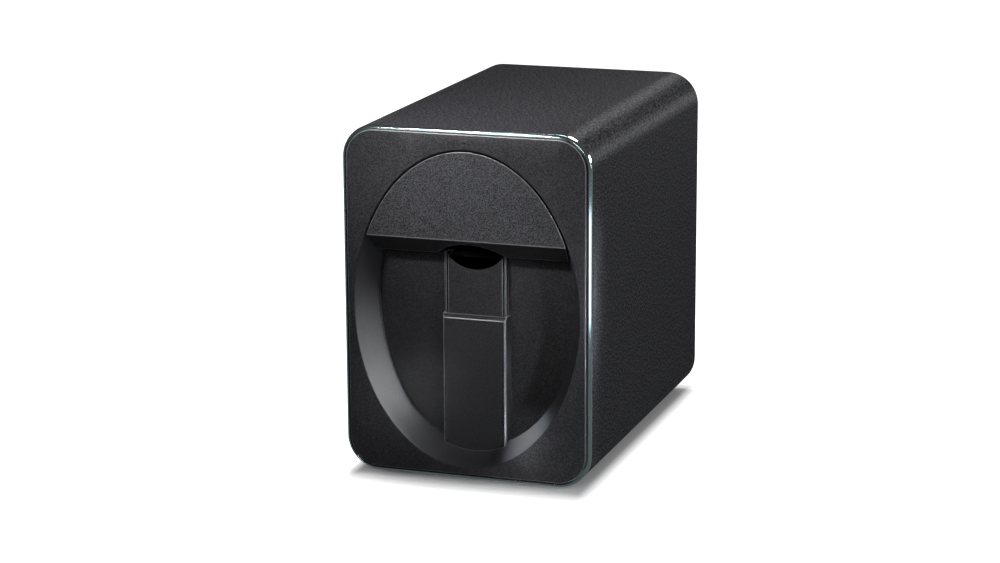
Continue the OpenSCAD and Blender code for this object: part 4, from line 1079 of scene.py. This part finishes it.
def make_lead_screw():
    """The four-start screw between its plain journals."""
    (x0, tip, z0), (x1, end, z1) = box_mm("lead_screw")
    x, z, collar_r = (x0 + x1) / 2, (z0 + z1) / 2, (x1 - x0) / 2
    collar = box_mm("rear_bracket")[0][1] - CLEAR
    shoulder = collar - COLLAR_T
    thread = grown(
        mesh_piece("lead_screw_threaded", [], [], GROUND_ROD), thread_tree(), core_radius=CORE_R * MM,
        crest_radius=ROD_R * MM, ridge_radius=RIDGE_R * MM, lead=SCREW_LEAD * MM, starts=SCREW_STARTS,
        length=(shoulder - tip - NOSE_L) * MM, centre=place(x, tip + NOSE_L, z), turn=TO_BACK,
        material=GROUND_ROD)
    nose = turned("nose", [
        (JOURNAL_R - NOSE_CHAMFER, tip), (JOURNAL_R, tip + NOSE_CHAMFER), (JOURNAL_R, tip + NOSE_L + LAP)],
        x, z, GROUND_ROD, 32)
    ends = turned("ends", [
        (CORE_R, shoulder - 2 * LAP), (collar_r - END_CHAMFER, shoulder), (collar_r, shoulder + END_CHAMFER),
        (collar_r, collar), (JOURNAL_R, collar), (JOURNAL_R, end - END_CHAMFER),
        (JOURNAL_R - END_CHAMFER, end)], x, z, GROUND_ROD, 32)
    stands_for(joined(thread, 40, nose, ends), "screw", "rod_steel", "lead_screw")


def belt_outline(radius):
    """The belt's path round both pulleys, at a distance from their axes."""
    right = arc(PULLEY_X, BELT_Z, radius, -90, 90, 24)
    return right + [(-x, z) for x, z in reversed(right)]


def make_drive_belt():
    """The flat back of the belt and the round teeth on its inner face."""
    inner_r = BELT_OUT_R - BELT_BACK_T
    loops = [[(x, y, z) for x, z in belt_outline(radius)] for radius, y in (
        (BELT_OUT_R, BELT_FRONT), (BELT_OUT_R, BELT_BACK), (inner_r, BELT_BACK), (inner_r, BELT_FRONT))]
    band = skin("drive_belt_toothed", loops, RUBBER, closed=True)
    path = belt_outline(inner_r)
    length = sum(math.dist(path[i - 1], path[i]) for i in range(len(path)))
    teeth = mesh_piece("teeth", [place(x, (BELT_FRONT + BELT_BACK) / 2, z) for x, z in path], [], RUBBER,
                       edges=[(i, (i + 1) % len(path)) for i in range(len(path))])
    grown(teeth, tooth_tree(), count=round(length / BELT_PITCH), radius=TOOTH_R * MM,
          width=(BELT_BACK - BELT_FRONT - TOOTH_SHORT) * MM, material=RUBBER)
    stands_for(joined(band, 50, teeth), "gantry", "belt_rubber", "drive_belt")


make_sleeve()
make_trim_ring()
make_front_panel()
make_front_cover()
make_finger_rest()
make_finger_guide()
make_finger_pad()
make_cap_seal()
make_return_spring()
make_power_button()
make_sockets()
make_feet()
make_lead_screw()
make_drive_belt()
screws = screw_tree()
make_screws(screws, "rear_screws", "rear_tie_screws", "back")
make_screws(screws, "fascia_screws", "front_tie_screws", "back")
make_screws(screws, "board_screws", "board_pan_screws", "up")
for node, name, body, edge_mm, material in (
        ("rear_panel", "rear_panel_vented", "case", 0.3, SPARK_ABS),
        ("ink_cartridge", "ink_cartridge_case", "carriage", 0.6, CARTRIDGE_PP),
        ("cartridge_latch", "cartridge_latch_lever", "latch", 0.3, INNER_ABS),
        ("print_carriage", "print_carriage_body", "carriage", 0.4, FILLED_NYLON),
        ("gantry_left", "gantry_block_left", "gantry", 0.4, FILLED_NYLON),
        ("gantry_right", "gantry_block_right", "gantry", 0.4, FILLED_NYLON),
        ("cap_tray", "cap_tray_arm", "gantry", 0.4, FILLED_NYLON),
        ("camera_module", "camera_housing", "case", 0.3, INNER_ABS)):
    make_edged_copy(node, name, body, edge_mm, material)

# -------- floor, light and camera

# The object's shadow on the floor: it begins this far under the sides, and fades over these distances (m)
FRINGE_IN = 0.006
FRINGE_SIDE = 0.009
FRINGE_FRONT = 0.02
# How bright floor and sky are: close to the object, in mirrors, at the horizon and overhead
FLOOR_LIFT = 0.04
MIRRORED_FLOOR = 0.15
MIRRORED_SKY = 0.1
HORIZON_LEVEL = 0.35
ZENITH_LEVEL = 0.1
SKY_TURNS = 0.6
FLOOR_HALF = 6.0
TARGET = place(18.326, 0, 14.510)


def ray_kinds(tree):
    """Whether a ray goes straight to the camera, and whether it is mirrored by something."""
    rays = add(tree, "ShaderNodeLightPath").outputs
    seen = arithmetic(tree, "MAXIMUM", rays["Is Camera Ray"], rays["Is Transmission Ray"])
    return seen, rays["Is Glossy Ray"]


def make_floor():
    """A plain pale floor: white to the camera but for the object's shadow, dimmer in what reflects it."""
    corners = [Vector((x, y, 0)) for x, y in rectangle(-FLOOR_HALF, -FLOOR_HALF, FLOOR_HALF, FLOOR_HALF)]
    material, tree, output, where = new_material("pale_studio_floor")
    seen, mirrored = ray_kinds(tree)
    away = add(tree, "ShaderNodeVectorMath", {0: where}, operation="ABSOLUTE").outputs[0]
    for operation, by in (
            ("SUBTRACT", (cad_box[1].x - FRINGE_IN, cad_box[1].y, 0.0)),
            ("MAXIMUM", (0.0, 0.0, 0.0)),
            ("DIVIDE", (FRINGE_SIDE, FRINGE_FRONT, 1.0))):
        away = add(tree, "ShaderNodeVectorMath", {0: away, 1: by}, operation=operation).outputs[0]
    away = add(tree, "ShaderNodeVectorMath", {0: away}, operation="LENGTH").outputs["Value"]
    lift = add(tree, "ShaderNodeMapRange", {"Value": away, "To Min": FLOOR_LIFT, "To Max": 1.0})
    level = arithmetic(tree, "MAXIMUM",
                       arithmetic(tree, "MULTIPLY", lift.outputs["Result"], seen),
                       arithmetic(tree, "MULTIPLY", mirrored, MIRRORED_FLOOR))
    matte = add(tree, "ShaderNodeBsdfDiffuse", {"Color": between(tree, seen, "#2c2c2c", "#c4c4c4")})
    glow = add(tree, "ShaderNodeEmission", {"Color": linear("#ffffff"), "Strength": level})
    both = add(tree, "ShaderNodeAddShader", {0: matte.outputs[0], 1: glow.outputs[0]})
    tree.links.new(both.outputs[0], output.inputs["Surface"])
    floor = mesh_piece("studio_floor", corners, [(0, 1, 2, 3)], material)


def make_world():
    """A dark studio: a dim sky that is darker overhead and in mirrors, and plain white to the camera."""
    world = bpy.data.worlds.new("studio")
    bpy.context.scene.world = world
    world.use_nodes = True
    tree = world.node_tree
    tree.nodes.clear()
    output = add(tree, "ShaderNodeOutputWorld")
    seen, mirrored = ray_kinds(tree)
    where = add(tree, "ShaderNodeTexCoord").outputs["Generated"]
    up = add(tree, "ShaderNodeSeparateXYZ", {"Vector": where}).outputs["Z"]
    sky = add(tree, "ShaderNodeMapRange", {
        "Value": up, "From Min": 0.0, "From Max": SKY_TURNS, "To Min": HORIZON_LEVEL, "To Max": ZENITH_LEVEL})
    dimmed = add(tree, "ShaderNodeMix", {"Factor": mirrored, "A": sky.outputs["Result"], "B": MIRRORED_SKY})
    glow = add(tree, "ShaderNodeBackground", {
        "Color": linear("#ffffff"), "Strength": arithmetic(tree, "MAXIMUM", dimmed.outputs["Result"], seen)})
    tree.links.new(glow.outputs[0], output.inputs["Surface"])


def soft_box(name, azimuth, elevation, distance, width, height, power,
             spread=180, aim=TARGET, colour="#ffffff"):
    """A rectangular lamp that faces a point from an azimuth and elevation, with its beam kept to a spread."""
    turn, rise = math.radians(azimuth), math.radians(elevation)
    towards = Vector((math.sin(turn) * math.cos(rise), -math.cos(turn) * math.cos(rise), math.sin(rise)))
    lamp = bpy.data.lights.new(name, "AREA")
    lamp.shape = "RECTANGLE"
    lamp.size = width
    lamp.size_y = height
    lamp.energy = power
    lamp.spread = math.radians(spread)
    lamp.color = linear(colour)[:3]
    holder = object_of(lamp)
    holder.location = aim + towards * distance
    holder.rotation_euler = towards.to_track_quat("Z", "Y").to_euler()
    holder.visible_camera = False


soft_box("overhead", 205, 77, 1.2, 0.35, 0.35, 10.6)
soft_box("right_front", 85, 10, 0.9, 0.16, 0.3, 3.2)
soft_box("front_fill", 15, 24, 0.9, 0.3, 0.3, 3.2)
soft_box("panel_top", -20, 31, 0.5, 0.1, 0.06, 0.17, 22, place(-8, 0, 82))
soft_box("dish_left", 80, 25, 0.5, 0.03, 0.05, 0.042, 10, place(-46, 6, -38))
soft_box("dish_right", -10, 62, 0.25, 0.02, 0.02, 0.015, 4, place(31, 8, -69))
soft_box("dish_floor", 22, 0, 0.5, 0.03, 0.03, 0.008, 6, place(-29, 14, -48))
soft_box("guide_edge", 54, 4, 0.45, 0.03, 0.12, 0.031, 7, place(17, 12, -42))
soft_box("ring_top", -53, 67, 0.6, 0.05, 0.12, 0.03)
soft_box("back_streak", 181, 23, 1.3, 0.2, 0.14, 1.9)
soft_box("right_streak", 157, 6, 1.2, 0.14, 0.14, 2.4)
soft_box("left_back", 236, 14, 1.2, 0.3, 0.3, 4.5)
soft_box("low_strip", 71, -10, 0.34, 0.3, 0.07, 0.24, colour="#e4ecff")


def make_camera():
    """The photograph's own viewpoint, solved from the case's edges."""
    azimuth, elevation, roll = (math.radians(a) for a in (18.986, 13.566, -0.294))
    distance = 1.37601
    focal_px, image_px, sensor_mm = 2739.7, 1000, 36
    back = Vector((math.sin(azimuth) * math.cos(elevation), -math.cos(azimuth) * math.cos(elevation),
                   math.sin(elevation)))
    right = (-back).cross(Vector((0, 0, 1))).normalized()
    up = right.cross(-back)
    turned_right = right * math.cos(roll) + up * math.sin(roll)
    turned_up = up * math.cos(roll) - right * math.sin(roll)
    lens = bpy.data.cameras.new("photo_camera")
    lens.sensor_width = sensor_mm
    lens.lens = focal_px / image_px * sensor_mm
    camera = object_of(lens)
    axes = Matrix((turned_right, turned_up, back)).transposed()
    camera.matrix_world = Matrix.Translation(TARGET + back * distance) @ axes.to_4x4()
    bpy.context.scene.camera = camera


make_world()
make_floor()
make_camera()
bpy.context.scene.view_settings.view_transform = "Standard"
